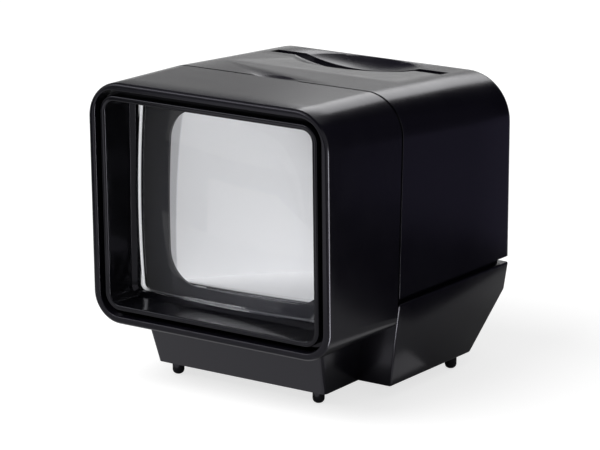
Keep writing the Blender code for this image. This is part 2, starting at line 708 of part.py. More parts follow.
def make_rear_housing():
    rings = [on_plane(housing_section(from_front(SEAM_FROM_FRONT)), seam_y, GAP)]
    edge_start = BACK - BACK_EDGE
    for step in range(DOME_STEPS):
        angle = math.pi / 2 * step / (DOME_STEPS - 1)
        y = edge_start + BACK_EDGE * math.sin(angle)
        inset = BACK_EDGE * (1 - math.cos(angle))
        rings.append([(x, y, up(z)) for x, z in housing_section(edge_start, inset)])
    bm = loft(rings, closed_rings=False, cap_ends=False)
    last = [vert for vert in bm.verts if abs(vert.co.y - BACK) < GAP / 10]
    bmesh.ops.contextual_create(bm, geom=last)
    point_away(bm, (0.0, 0.0, up(SEAM_TOP / 2)))
    housing = piece("rear_housing", bm, BLACK_GLOSS)
    wall = housing.modifiers.new("wall", "SOLIDIFY")
    wall.thickness = HOUSING_WALL
    wall.offset = -1.0
    wall.use_even_offset = True
    join(housing, "scoop_pad", roof_pad())
    for side, name in ((-1, "left"), (1, "right")):
        x = side * REAR_BOSS_X
        y = BACK - REAR_BOSS_TO_BACK
        foot = REAR_BOSS_HEIGHT + GAP
        join(housing, "post_" + name, cylinder((x, y, up(foot)), POST_RADIUS, POST_TOP - foot))
        wall_x = housing_section(y, HOUSING_WALL / 2)[0][0]
        reach = sorted((x, side * wall_x))
        rib_foot = HOUSING_BOTTOM + SHADOW_GAP + TONGUE_HEIGHT
        join(housing, "post_rib_" + name, box((reach[0], y - POST_RIB / 2, up(rib_foot)),
                                              (reach[1], y + POST_RIB / 2, up(POST_TOP - POST_RIB))))
        hole = cylinder((x, y, up(foot) - OVERRUN), SCREW_RADIUS + GAP, SCREW_LENGTH + OVERRUN)
        cut(housing, "post_hole_" + name, hole)
    cut(housing, "scoop", scoop_tool())
    slot_low = up(roof_height(SLOT_Y) - SCOOP_DEPTH - SCOOP_BACKING - HOUSING_WALL) - OVERRUN
    cut(housing, "slot", box((-SLOT_LENGTH / 2, SLOT_Y - SLOT_WIDTH / 2, slot_low),
                             (SLOT_LENGTH / 2, SLOT_Y + SLOT_WIDTH / 2, up(SEAM_TOP) + OVERRUN)))
    rise = NOTCH_CURVE_DEPTH - NOTCH_DEPTH
    spread = math.sqrt(1 - (rise / NOTCH_CURVE_DEPTH) ** 2)
    notch_y = seam_y(SEAM_TOP)
    notch = ellipsoid((0.0, notch_y, up(roof_height(notch_y) + rise)),
                      (NOTCH_HALF_LENGTH / spread, NOTCH_REACH / spread, NOTCH_CURVE_DEPTH), ROUND_STEPS // 2)
    cut(housing, "pry_notch", notch)
    return housing


# Light chamber: the white box between the lens and the slide, with the slide gate for its back wall

def chamber_ring(half_width, top, y, bottom, grow=0.0):
    low = up(bottom - grow)
    high = up(top + grow)
    wide = half_width + grow
    return [(-wide, y, low), (wide, y, low), (wide, y, high), (-wide, y, high)]


def make_light_chamber():
    bottom = CHAMBER_UNDERSIDE + CHAMBER_WALL
    outside = [chamber_ring(CHAMBER_MOUTH_HALF_WIDTH, CHAMBER_MOUTH_TOP, MOUTH_Y, bottom, CHAMBER_WALL),
               chamber_ring(CHAMBER_BACK_HALF_WIDTH, CHAMBER_BACK_TOP, GATE_Y, bottom, CHAMBER_WALL)]
    chamber = piece("light_chamber", loft(outside), WHITE_PLASTIC)
    rail_back = DIFFUSER_Y - GAP
    rail_inner = SLIDE_SIDE / 2 + RAIL_PLAY
    outer_x = PANEL_HALF_WIDTH
    ear_low = up((CHAMBER_UNDERSIDE + CHAMBER_MOUTH_TOP) / 2 - EAR_HEIGHT / 2)
    ear_y = MOUTH_Y + EAR_FROM_MOUTH
    ear_x = housing_section(ear_y, HOUSING_WALL + GAP)[0][0]
    for side, name in ((-1, "left"), (1, "right")):
        rail = sorted((side * rail_inner, side * outer_x))
        join(chamber, "rail_" + name, box((rail[0], GATE_Y - CHAMBER_WALL / 2, up(CHAMBER_UNDERSIDE)),
                                          (rail[1], rail_back, up(PANEL_TOP))))
        ear = sorted((side * (CHAMBER_MOUTH_HALF_WIDTH - 2 * CHAMBER_WALL), side * ear_x))
        join(chamber, "ear_" + name, box((ear[0], ear_y, ear_low),
                                         (ear[1], ear_y + EAR_LENGTH, ear_low + EAR_HEIGHT)))
    front = MOUTH_Y - OVERRUN
    end = GATE_Y - CHAMBER_WALL
    slope = (CHAMBER_MOUTH_HALF_WIDTH - CHAMBER_BACK_HALF_WIDTH) / CHAMBER_LENGTH
    fall = (CHAMBER_MOUTH_TOP - CHAMBER_BACK_TOP) / CHAMBER_LENGTH
    inside = []
    for y in (front, end):
        ahead = GATE_Y - y
        inside_top = CHAMBER_BACK_TOP + fall * ahead
        inside.append(chamber_ring(CHAMBER_BACK_HALF_WIDTH + slope * ahead, inside_top, y, bottom))
    cut(chamber, "chamber_inside", loft(inside))
    half = WINDOW_SIDE / 2
    cut(chamber, "window", box((-half, end - OVERRUN, up(WINDOW_MIDDLE) - half),
                               (half, GATE_Y + OVERRUN, up(WINDOW_MIDDLE) + half)))
    return chamber


# Opal diffuser, reflector tray, lamp board and its two lamps, one behind the other at the back wall

def make_diffuser():
    low = (-PANEL_HALF_WIDTH, DIFFUSER_Y, up(CHAMBER_UNDERSIDE))
    high = (PANEL_HALF_WIDTH, DIFFUSER_Y + DIFFUSER_THICKNESS, up(PANEL_TOP))
    return piece("opal_diffuser", box(low, high), OPAL_PLASTIC)


def make_reflector():
    low = Vector((-PANEL_HALF_WIDTH, REFLECTOR_Y, up(CHAMBER_UNDERSIDE)))
    high = Vector((PANEL_HALF_WIDTH, REFLECTOR_BACK, up(PANEL_TOP)))
    reflector = piece("lamp_reflector", box(low, high), WHITE_PLASTIC)
    wall = Vector((REFLECTOR_WALL, REFLECTOR_WALL, REFLECTOR_WALL))
    inside_low = low + wall
    inside_high = high - wall
    inside_low.y = REFLECTOR_Y - OVERRUN
    cut(reflector, "reflector_inside", box(inside_low, inside_high))
    for side, name in ((-1, "left"), (1, "right")):
        hole = cylinder((0.0, 0.0, 0.0), LAMP_RADIUS + GAP, REFLECTOR_WALL + 2 * OVERRUN)
        turn_back = Matrix.Rotation(-math.pi / 2, 3, "X")
        bmesh.ops.rotate(hole, cent=(0.0, 0.0, 0.0), matrix=turn_back, verts=hole.verts)
        centre = (side * LAMP_SPACING / 2, REFLECTOR_BACK - REFLECTOR_WALL - OVERRUN, up(WINDOW_MIDDLE))
        bmesh.ops.translate(hole, vec=centre, verts=hole.verts)
        cut(reflector, "lamp_hole_" + name, hole)
    return reflector


def make_lamp_board():
    low = (-BOARD_HALF_WIDTH, BOARD_Y, up(WINDOW_MIDDLE) - BOARD_HALF_HEIGHT)
    high = (BOARD_HALF_WIDTH, BOARD_Y + BOARD_THICKNESS, up(WINDOW_MIDDLE) + BOARD_HALF_HEIGHT)
    return piece("lamp_board", box(low, high), BOARD_GREEN)


def turned(profile, steps=ROUND_STEPS):
    """A closed solid turned about Z from a profile of (radius, height), top to bottom."""
    bm = bmesh.new()
    verts = [bm.verts.new((radius, 0.0, height)) for radius, height in profile]
    edges = [bm.edges.new(pair) for pair in zip(verts, verts[1:])]
    bmesh.ops.spin(bm, geom=verts + edges, cent=(0.0, 0.0, 0.0), axis=(0.0, 0.0, 1.0),
                   angle=2 * math.pi, steps=steps, use_merge=True)
    bmesh.ops.remove_doubles(bm, verts=bm.verts, dist=MERGE)
    bmesh.ops.recalc_face_normals(bm, faces=bm.faces)
    return bm


def make_lamps():
    """Two white lamps. Each dome looks towards the slide through its hole in the reflector."""
    length = BOARD_Y - GAP - DIFFUSER_Y - DIFFUSER_THICKNESS - 2 * GAP
    shoulder = length - LAMP_DOME
    profile = [(0.0, length)]
    for step in range(1, DOME_STEPS + 1):
        angle = math.pi / 2 * step / DOME_STEPS
        profile.append((LAMP_RADIUS * math.sin(angle), shoulder + LAMP_DOME * math.cos(angle)))
    profile += [(LAMP_RADIUS, 0.0), (0.0, 0.0)]
    for side, name in ((-1, "lamp_left"), (1, "lamp_right")):
        lamp = turned(profile, ROUND_STEPS // 2)
        turn_forward = Matrix.Rotation(math.pi / 2, 3, "X")
        bmesh.ops.rotate(lamp, cent=(0.0, 0.0, 0.0), matrix=turn_forward, verts=lamp.verts)
        centre = (side * LAMP_SPACING / 2, BOARD_Y - GAP, up(WINDOW_MIDDLE))
        bmesh.ops.translate(lamp, vec=centre, verts=lamp.verts)
        piece(name, lamp, LAMP_EPOXY)


# Base tray: the drafted tub under the shadow gap, with the narrower plinth under the hood in one moulding

def tray_half_width(y, height, inset=0.0):
    """Half the tray's width, which grows upwards with the draft and backwards with the flare."""
    draft = TRAY_DRAFT * height / TRAY_TOP
    flare = TRAY_FLARE * (y - TRAY_FRONT) / (BACK - TRAY_FRONT)
    return TRAY_HALF_WIDTH + draft + flare - inset


def tray_back(height):
    """World Y of the tray's back at a height: a slope below, an upright wall above."""
    top = BACK - CHAMFER_TOP_TO_BACK
    if height >= CHAMFER_RISE:
        return share(top, BACK - TRAY_BACK_INSET, (height - CHAMFER_RISE) / (TRAY_TOP - CHAMFER_RISE))
    return share(BACK - CHAMFER_TO_BACK, top, height / CHAMFER_RISE)


def chamfer_slope():
    """How far the sloping back runs backwards for each unit that it rises."""
    return (CHAMFER_TO_BACK - CHAMFER_TOP_TO_BACK) / CHAMFER_RISE


def tray_inner_back(height):
    drawn_in = TRAY_WALL * math.sqrt(1 + chamfer_slope() ** 2)
    slope_back = BACK - CHAMFER_TO_BACK + chamfer_slope() * height - drawn_in
    return min(slope_back, BACK - TRAY_BACK_INSET - TRAY_WALL)


def tray_ring(height, front, back, inset):
    return [(-tray_half_width(front, height, inset), front, up(height)),
            (tray_half_width(front, height, inset), front, up(height)),
            (tray_half_width(back, height, inset), back, up(height)),
            (-tray_half_width(back, height, inset), back, up(height))]


def inner_chamfer_top():
    """Height at which the inner face of the sloping back meets the upright wall."""
    drawn_in = TRAY_WALL * math.sqrt(1 + chamfer_slope() ** 2)
    return (CHAMFER_TO_BACK - TRAY_BACK_INSET - TRAY_WALL + drawn_in) / chamfer_slope()


def plinth_front(height, inset=0.0):
    return from_front(PLINTH_FROM_FRONT + inset) - PLINTH_LEAN * height / HOOD_BOTTOM


def plinth_half_width(height, inset=0.0):
    return PLINTH_HALF_WIDTH + PLINTH_DRAFT * height / HOOD_BOTTOM - inset


def plinth_shape(floor, back, inset, roof_drop, corner):
    """The plinth's solid, or its hollow for an inset. Its roof follows the hood's underside."""
    rise = (SEAM_BOTTOM - HOOD_BOTTOM) / SEAM_FROM_FRONT
    lean = PLINTH_LEAN / HOOD_BOTTOM
    front_roof = (HOOD_BOTTOM + rise * (PLINTH_FROM_FRONT + inset) - GAP - roof_drop) / (1 + rise * lean)
    back_roof = hood_floor(back - FRONT) - GAP - roof_drop
    rings = []
    for front_height, back_height in ((floor, floor), (front_roof, back_roof)):
        front = plinth_front(front_height, inset)
        plan = arc((plinth_half_width(front_height, inset) - corner, corner), corner, -1, 0, DOME_STEPS)
        slope = (back_height - front_height) / (back - front)
        right = []
        for x, depth in plan:
            height = front_height + slope * depth
            spread = plinth_half_width(height) - plinth_half_width(front_height)
            right.append((x + spread, front + depth, height))
        wide = plinth_half_width(back_height, inset)
        ring = right + [(wide, back, back_height)]
        rings.append([(-x, y, up(z)) for x, y, z in reversed(ring)] + [(x, y, up(z)) for x, y, z in ring])
    return loft(rings)


def cradle_size():
    """Inner half length and the inner front and back of the bay that holds the two cells."""
    half = (CELL_LENGTH + 2 * CONTACT_THICKNESS + CELL_SPRING_SPACE + 4 * GAP) / 2
    front = TRAY_FRONT + TRAY_WALL + GAP + CRADLE_WALL
    back = front + 4 * CELL_RADIUS + 4 * CELL_PLAY
    return half, front, back


def door_size():
    """Half widths of the door's lower and upper plates, and its front and rear ends."""
    half, front, back = cradle_size()
    lower = half - DOOR_NARROWER
    return lower, lower + DOOR_LEDGE, front, BACK - CHAMFER_TO_BACK


def door_slot_top():
    return DOOR_SHELF + GAP + DOOR_THICKNESS + GAP


def inner_slope_height(y):
    """Height of the inner face of the tray's sloping back at a world Y."""
    drawn_in = TRAY_WALL * math.sqrt(1 + chamfer_slope() ** 2)
    return (y - (BACK - CHAMFER_TO_BACK) + drawn_in) / chamfer_slope()


def spring_seat_height():
    """Height of the flat seats for the carrier's springs, which run out into the sloping back."""
    return inner_slope_height(SLOT_Y + SPRING_SEAT_RADIUS) - TRAY_WALL / 2 + SPRING_SEAT_EDGE


def block_on_slope(left, right, front, rear, lift, top):
    """A block whose underside follows the sloping back, lifted from its inner face."""
    rings = []
    low_front = up(inner_slope_height(front) + lift)
    low_rear = up(inner_slope_height(rear) + lift)
    for x in (left, right):
        rings.append([(x, front, low_front), (x, rear, low_rear), (x, rear, up(top)), (x, front, up(top))])
    return loft(rings)


def screw_well(centre, roof):
    """The well from below for a screw's head, and the hole for its shank above."""
    head = cylinder((centre[0], centre[1], up(0.0) - OVERRUN), SCREW_HEAD_RADIUS + SCREW_HOLE_PLAY,
                    roof - SCREW_SEAT + OVERRUN)
    shank = cylinder((centre[0], centre[1], up(roof - SCREW_SEAT) - OVERRUN), SCREW_RADIUS + SCREW_HOLE_PLAY,
                     SCREW_SEAT + 2 * OVERRUN)
    return head, shank


def foot_places():
    front = from_front(FRONT_FOOT_FROM_FRONT)
    rear = BACK - REAR_FOOT_TO_BACK
    return [(-FRONT_FOOT_X, front), (FRONT_FOOT_X, front), (-REAR_FOOT_X, rear), (REAR_FOOT_X, rear)]


def tongue_block(front, back, low, high, inset):
    """The tongue's outside, or the throat inside it for an inset. It follows the spreading sides."""
    drawn_in = HOUSING_WALL + 2 * GAP + inset
    wide_front = housing_section(front)[0][0] - drawn_in
    wide_back = housing_section(back)[0][0] - drawn_in
    rings = []
    for height in (low, high):
        z = up(height)
        rings.append([(-wide_front, front, z), (wide_front, front, z),
                      (wide_back, back, z), (-wide_back, back, z)])
    return loft(rings)


def make_base_tray():
    levels = (0.0, CHAMFER_RISE, TRAY_TOP)
    bm = loft([tray_ring(z, TRAY_FRONT, tray_back(z), 0.0) for z in levels])
    tray = piece("base_tray", bm, BLACK_GLOSS)
    edges = tray.modifiers.new("edges", "BEVEL")
    edges.width = TRAY_EDGE
    edges.segments = 2
    edges.limit_method = "ANGLE"
    edges.angle_limit = math.radians(30)
    join(tray, "plinth", plinth_shape(0.0, TRAY_FRONT + TRAY_WALL / 2, 0.0, 0.0, PLINTH_EDGE))

    # The tongue that stands up inside the housing's sides and back, open at the front and behind the lamps
    tongue_top = TRAY_TOP + SHADOW_GAP + TONGUE_HEIGHT
    tongue_back = BACK_INNER - 2 * GAP
    front = TRAY_FRONT + TRAY_WALL
    join(tray, "tongue", tongue_block(front + GAP, tongue_back, TRAY_TOP - TRAY_WALL / 2, tongue_top, 0.0))
    inner_levels = (TRAY_WALL, inner_chamfer_top(), TRAY_TOP - TRAY_WALL)
    inner = [tray_ring(z, front, tray_inner_back(z), TRAY_WALL) for z in inner_levels]
    cut(tray, "tray_inside", loft(inner))
    cut(tray, "tray_throat", tongue_block(front - GAP, tongue_back - TONGUE_WALL, TRAY_TOP - 2 * TRAY_WALL,
                                          tongue_top + OVERRUN, TONGUE_WALL))
    notch_half = PANEL_HALF_WIDTH + 3 * GAP
    notch_low = up(TRAY_TOP - 2 * TRAY_WALL)
    cut(tray, "lamp_notch", box((-notch_half, tongue_back - TONGUE_WALL - OVERRUN, notch_low),
                                (notch_half, tongue_back - LAMP_NOTCH_WALL, up(tongue_top) + OVERRUN)))
    cut(tray, "lead_notch", box((LEAD_NOTCH_FROM, tongue_back - TONGUE_WALL - OVERRUN, notch_low),
                                (notch_half, BACK_INNER - GAP / 2, up(tongue_top) + OVERRUN)))
    hollow_end = TRAY_FRONT + TRAY_WALL + GAP
    cut(tray, "plinth_hollow", plinth_shape(TRAY_WALL, hollow_end, PLINTH_WALL, PLINTH_WALL, PLINTH_EDGE / 2))

    # Screw wells, spring seats and the holes for the feet
    for side, name in ((-1, "left"), (1, "right")):
        x = side * HOOD_BOSS_X
        y = from_front(HOOD_BOSS_FROM_FRONT)
        roof = hood_floor(HOOD_BOSS_FROM_FRONT) - GAP
        join(tray, "hood_well_" + name, cylinder((x, y, up(TRAY_WALL / 2)), SCREW_WELL_RADIUS,
                                                 roof - TRAY_WALL / 2 - PLINTH_WALL / 2))
        head, shank = screw_well((x, y), roof)
        cut(tray, "hood_well_hole_" + name, head)
        cut(tray, "hood_shank_hole_" + name, shank)
        x = side * REAR_BOSS_X
        y = BACK - REAR_BOSS_TO_BACK
        join(tray, "rear_well_" + name, cylinder((x, y, up(TRAY_WALL / 2)), REAR_BOSS_RADIUS,
                                                 REAR_BOSS_HEIGHT - TRAY_WALL / 2))
        head, shank = screw_well((x, y), REAR_BOSS_HEIGHT)
        cut(tray, "rear_well_hole_" + name, head)
        cut(tray, "rear_shank_hole_" + name, shank)
        x = side * CARRIER_SPRING_X
        radius = SPRING_SEAT_RADIUS
        seat = block_on_slope(x - radius, x + radius, SLOT_Y - radius, SLOT_Y + radius,
                              -TRAY_WALL / 2, spring_seat_height())
        join(tray, "spring_seat_" + name, seat)
        pin_low = up(spring_seat_height() - SPRING_PIN_HEIGHT)
        pin = cylinder((x, SLOT_Y, pin_low), SPRING_PIN_RADIUS, 2 * SPRING_PIN_HEIGHT)
        join(tray, "spring_pin_" + name, pin)
        half, front, back = cradle_size()
        pad = sorted((side * (half + CRADLE_WALL), side * (half + CRADLE_TAB_REACH)))
        pad_front = from_front(CRADLE_TAB_FROM_FRONT)
        join(tray, "cradle_pad_" + name, box((pad[0], pad_front, up(TRAY_WALL / 2)),
                                             (pad[1], pad_front + CRADLE_TAB_LENGTH, up(door_slot_top()))))
    hole_depth = TRAY_WALL + 2 * OVERRUN
    holes = [cylinder((x, y, up(0.0) - OVERRUN), FOOT_SPIGOT_RADIUS + GAP, hole_depth, ROUND_STEPS // 2)
             for x, y in foot_places()]
    cut(tray, "foot_holes", merged(holes))

    # The door's opening: a narrow one below, a wider one above, both open to the rear
    lower, upper, front, rear = door_size()
    cut(tray, "door_opening_low", box((-lower - GAP, front - 2 * GAP, up(0.0) - OVERRUN),
                                      (lower + GAP, rear + OVERRUN, up(DOOR_SHELF) + GAP)))
    exit_y = rear + chamfer_slope() * door_slot_top() + OVERRUN
    cut(tray, "door_opening_high", box((-upper - GAP, front - GAP, up(DOOR_SHELF)),
                                       (upper + GAP, exit_y, up(door_slot_top()))))
    return tray


# Battery cradle: the roofed bay that stands on the tray's floor and keeps the cells and contacts in place

def make_battery_cradle():
    half, front, back = cradle_size()
    floor = door_slot_top() + GAP
    low = (-half - CRADLE_WALL, front - CRADLE_WALL, up(floor))
    high = (half + CRADLE_WALL, back + CRADLE_WALL, up(CRADLE_TOP))
    cradle = piece("battery_cradle", box(low, high), BLACK_SATIN)
    for side, name in ((-1, "front"), (1, "rear")):
        y = (front + back) / 2 + side * CELL_RADIUS
        rib = box((-CRADLE_RIB_HALF_LENGTH, y - CRADLE_RIB / 2, up(CRADLE_TOP - CRADLE_WALL / 2)),
                  (CRADLE_RIB_HALF_LENGTH, y + CRADLE_RIB / 2, up(CHAMBER_UNDERSIDE - GAP)))
        join(cradle, "cradle_rib_" + name, rib)
    for side, name in ((-1, "left"), (1, "right")):
        tab = sorted((side * (half + CRADLE_WALL / 2), side * (half + CRADLE_TAB_REACH)))
        tab_front = from_front(CRADLE_TAB_FROM_FRONT)
        far = (tab[1], tab_front + CRADLE_TAB_LENGTH, up(floor) + CRADLE_TAB_THICKNESS)
        join(cradle, "cradle_tab_" + name, box((tab[0], tab_front, up(floor)), far))
    cut(cradle, "bay", box((-half, front, up(floor) - OVERRUN), (half, back, up(CRADLE_ROOF))))
    for row, name in zip(cell_rows(), ("front", "rear")):
        reach = SOLDER_TAB_WIDTH / 2 + GAP
        inner_x = half - CONTACT_THICKNESS - 2 * GAP
        cut(cradle, "tab_slot_" + name, box((inner_x, row - reach, up(CRADLE_ROOF) - GAP),
                                            (half + GAP, row + reach, up(CRADLE_TOP) + OVERRUN)))
    return cradle


def cell_rows():
    """World Y of the two cells' axes, front and rear."""
    half, front, back = cradle_size()
    return front + CELL_PLAY + CELL_RADIUS, back - CELL_PLAY - CELL_RADIUS


def cell_ends(direction):
    """World X of a cell's flat end and of its nub's end. The spring lies at the flat end."""
    half, front, back = cradle_size()
    nub_end = direction * (half - CONTACT_THICKNESS - 2 * GAP)
    return nub_end - direction * CELL_LENGTH, nub_end


def make_cell(name, row, direction):
    """A round cell along X, its nub to the right for direction 1 and to the left for -1."""
    body = CELL_LENGTH - CELL_NUB_HEIGHT
    profile = [(0.0, CELL_LENGTH), (CELL_NUB_RADIUS, CELL_LENGTH), (CELL_NUB_RADIUS, body),
               (CELL_RADIUS - CELL_EDGE, body), (CELL_RADIUS, body - CELL_EDGE),
               (CELL_RADIUS, CELL_EDGE), (CELL_RADIUS - CELL_EDGE, 0.0), (0.0, 0.0)]
    bm = turned(profile)
    flat_end, nub_end = cell_ends(direction)
    turn = Matrix.Rotation(direction * math.pi / 2, 3, "Y")
    bmesh.ops.rotate(bm, cent=(0.0, 0.0, 0.0), matrix=turn, verts=bm.verts)
    bmesh.ops.translate(bm, vec=(flat_end, row, up(CELL_MIDDLE)), verts=bm.verts)
    return piece(name, bm, CELL_JACKET)


def contact_plate(name, side, low_y, high_y):
    """A brass plate against the cradle's end wall, on the left for side -1 and on the right for 1."""
    half, front, back = cradle_size()
    outer = side * (half - GAP)
    x = sorted((outer, outer - side * CONTACT_THICKNESS))
    low = (x[0], low_y, up(CELL_MIDDLE) - CONTACT_SIDE / 2)
    high = (x[1], high_y, up(CELL_MIDDLE) + CONTACT_SIDE / 2)
    return piece(name, box(low, high), CONTACT_BRASS)


def make_contacts():
    front_row, rear_row = cell_rows()
    reach = CONTACT_SIDE / 2
    contact_plate("series_contact", -1, front_row - reach, rear_row + reach)
    half, front, back = cradle_size()
    outer = half - GAP
    tab_top = CRADLE_TOP + SOLDER_TAB_RISE
    for row, name in ((front_row, "positive_contact"), (rear_row, "negative_contact")):
        plate = contact_plate(name, 1, row - reach, row + reach)
        tab = box((outer - CONTACT_THICKNESS, row - SOLDER_TAB_WIDTH / 2, up(CELL_MIDDLE)),
                  (outer, row + SOLDER_TAB_WIDTH / 2, up(tab_top)))
        join(plate, name + "_tab", tab)


def tube(name, points, radius, material, resolution):
    """A round wire along a list of points, made a closed mesh."""
    curve = bpy.data.curves.new(name, "CURVE")
    curve.dimensions = "3D"
    curve.bevel_depth = radius
    curve.bevel_resolution = resolution
    curve.use_fill_caps = True
    spline = curve.splines.new("POLY")
    spline.points.add(len(points) - 1)
    for target, point in zip(spline.points, points):
        target.co = (*point, 1.0)
    holder = bpy.data.objects.new(name, curve)
    PARTS.objects.link(holder)
    graph = bpy.context.evaluated_depsgraph_get()
    mesh = bpy.data.meshes.new_from_object(holder.evaluated_get(graph))
    place = holder.matrix_world.copy()
    bpy.data.objects.remove(holder, do_unlink=True)
    bm = bmesh.new()
    bm.from_mesh(mesh)
    bpy.data.meshes.remove(mesh)
    bmesh.ops.remove_doubles(bm, verts=bm.verts, dist=MERGE)
    bmesh.ops.recalc_face_normals(bm, faces=bm.faces)
    if material is None:
        return bm
    obj = piece(name, bm, material)
    obj.matrix_world = place
    return obj


def coil_points(axis_origin, axis, low_radius, high_radius, length, turns):
    """Points of a coil that starts at its origin and climbs along an axis, with nearly closed ends."""
    direction = Vector(axis).normalized()
    across = direction.orthogonal().normalized()
    third = direction.cross(across)
    count = round(turns * COIL_POINTS)
    points = []
    for step in range(count + 1):
        part = step / count
        angle = 2 * math.pi * turns * part
        radius = share(low_radius, high_radius, part)
        around = across * math.cos(angle) + third * math.sin(angle)
        points.append(Vector(axis_origin) + around * radius + direction * length * part)
    return points


def make_battery_springs():
    """One coil at each cell's flat end, wide at its plate and narrow at the cell."""
    half, front, back = cradle_size()
    for row, direction, name in zip(cell_rows(), (1, -1), ("front", "rear")):
        flat_end, nub_end = cell_ends(direction)
        plate = -direction * (half - GAP - CONTACT_THICKNESS)
        start = plate + direction * (GAP + COIL_WIRE_RADIUS)
        end = flat_end - direction * (GAP + COIL_WIRE_RADIUS)
        points = coil_points((start, row, up(CELL_MIDDLE)), (direction, 0.0, 0.0),
                             COIL_FOOT_RADIUS, COIL_TOP_RADIUS, abs(end - start), COIL_TURNS)
        tube("battery_spring_" + name, points, COIL_WIRE_RADIUS, SPRING_STEEL, 1)


# Battery door: slides to the rear out of the tray's floor, held up by ledges along both its sides

def make_battery_door():
    lower, upper, front, rear = door_size()
    bm = box((-lower, front, up(0.0)), (lower, rear, up(DOOR_SHELF + GAP + DOOR_THICKNESS / 2)))
    bmesh.ops.translate(bm, vec=(0.0, -front, 0.0), verts=bm.verts)
    door = piece("battery_door", bm, BLACK_GLOSS)
    door.location = (0.0, front, 0.0)
    ledge_low = up(DOOR_SHELF + GAP)
    ledge = box((-upper, front, ledge_low), (upper, rear, ledge_low + DOOR_THICKNESS))
    join(door, "door_ledges", ledge)
    grips = []
    along_x = Matrix.Rotation(math.pi / 2, 3, "Y")
    middle = rear - DOOR_GRIP_PITCH * DOOR_GRIP_COUNT
    for number in range(DOOR_GRIP_COUNT):
        groove = cylinder((0.0, 0.0, 0.0), DOOR_GRIP_RADIUS, 2 * DOOR_GRIP_HALF_LENGTH, ROUND_STEPS // 2)
        bmesh.ops.translate(groove, vec=(0.0, 0.0, -DOOR_GRIP_HALF_LENGTH), verts=groove.verts)
        bmesh.ops.rotate(groove, cent=(0.0, 0.0, 0.0), matrix=along_x, verts=groove.verts)
        y = middle + DOOR_GRIP_PITCH * (number - (DOOR_GRIP_COUNT - 1) / 2)
        bmesh.ops.translate(groove, vec=(0.0, y, up(0.0)), verts=groove.verts)
        grips.append(groove)
    cut(door, "door_grips", merged(grips))
    return door


# Feet: four small pegs pressed into the floor from below

def make_feet():
    shoulder = FOOT_HEIGHT - GAP
    profile = [(0.0, shoulder + FOOT_SPIGOT_HEIGHT), (FOOT_SPIGOT_RADIUS, shoulder + FOOT_SPIGOT_HEIGHT),
               (FOOT_SPIGOT_RADIUS, shoulder), (FOOT_RADIUS, shoulder), (FOOT_RADIUS, FOOT_ROUND)]
    for step in range(1, DOME_STEPS + 1):
        angle = math.pi / 2 * step / DOME_STEPS
        radius = FOOT_RADIUS - FOOT_ROUND * (1 - math.cos(angle))
        profile.append((radius, FOOT_ROUND * (1 - math.sin(angle))))
    profile.append((0.0, 0.0))
    names = ("foot_front_left", "foot_front_right", "foot_rear_left", "foot_rear_right")
    for (x, y), name in zip(foot_places(), names):
        foot = turned(profile, ROUND_STEPS // 2)
        bmesh.ops.translate(foot, vec=(x, y, 0.0), verts=foot.verts)
        piece(name, foot, FOOT_PLASTIC)


# Screws: two up into the hood through the plinth, two up into the housing's posts

def screw_shape(x, y, seat):
    """A pan-head screw whose head lies under its seat."""
    head_top = up(seat) - GAP
    profile = [(0.0, head_top + SCREW_LENGTH), (SCREW_RADIUS, head_top + SCREW_LENGTH),
               (SCREW_RADIUS, head_top), (SCREW_HEAD_RADIUS, head_top),
               (SCREW_HEAD_RADIUS, head_top - SCREW_HEAD_HEIGHT / 2),
               (SCREW_HEAD_RADIUS - SCREW_HEAD_HEIGHT / 2, head_top - SCREW_HEAD_HEIGHT),
               (0.0, head_top - SCREW_HEAD_HEIGHT)]
    screw = turned(profile, ROUND_STEPS // 2)
    bmesh.ops.translate(screw, vec=(x, y, 0.0), verts=screw.verts)
    return screw


def make_screws():
    hood_seat = hood_floor(HOOD_BOSS_FROM_FRONT) - GAP - SCREW_SEAT
    rear_seat = REAR_BOSS_HEIGHT - SCREW_SEAT
    for side, name in ((-1, "left"), (1, "right")):
        front = screw_shape(side * HOOD_BOSS_X, from_front(HOOD_BOSS_FROM_FRONT), hood_seat)
        piece("hood_screw_" + name, front, SCREW_STEEL)
        rear = screw_shape(side * REAR_BOSS_X, BACK - REAR_BOSS_TO_BACK, rear_seat)
        piece("housing_screw_" + name, rear, SCREW_STEEL)


# Slide carrier: the shelf that the slide stands on. Pushing the slide down moves it and closes the switch

def carrier_foot():
    """Heights of the carrier's foot plate, which the springs hold up against the chamber."""
    top = CHAMBER_UNDERSIDE - GAP
    return top - CARRIER_FOOT_THICKNESS, top


def make_slide_carrier():
    low, top = carrier_foot()
    half_length = SLIDE_SIDE / 2 - GAP
    half_tongue = SLOT_WIDTH / 2 - GAP
    bm = box((-half_length, -CARRIER_FOOT_DEPTH / 2, 0.0), (half_length, CARRIER_FOOT_DEPTH / 2, top - low))
    carrier = piece("slide_carrier", bm, BLACK_SATIN)
    carrier.location = (0.0, SLOT_Y, up(low))
    join(carrier, "carrier_tongue", box((-half_length, SLOT_Y - half_tongue, up((low + top) / 2)),
                                        (half_length, SLOT_Y + half_tongue, up(CARRIER_TOP))))
    push_x = BLADE_PIVOT_X - BLADE_PUSH_REACH
    finger_low = blade_height() + BLADE_THICKNESS + GAP
    finger_high = (low + top) / 2
    finger = box((push_x - FINGER_HALF_WIDTH, SLOT_Y - BLADE_WIDTH / 2, up(finger_low)),
                 (push_x + FINGER_HALF_WIDTH, SLOT_Y + BLADE_WIDTH / 2, up(finger_high)))
    join(carrier, "carrier_finger", finger)
    return carrier


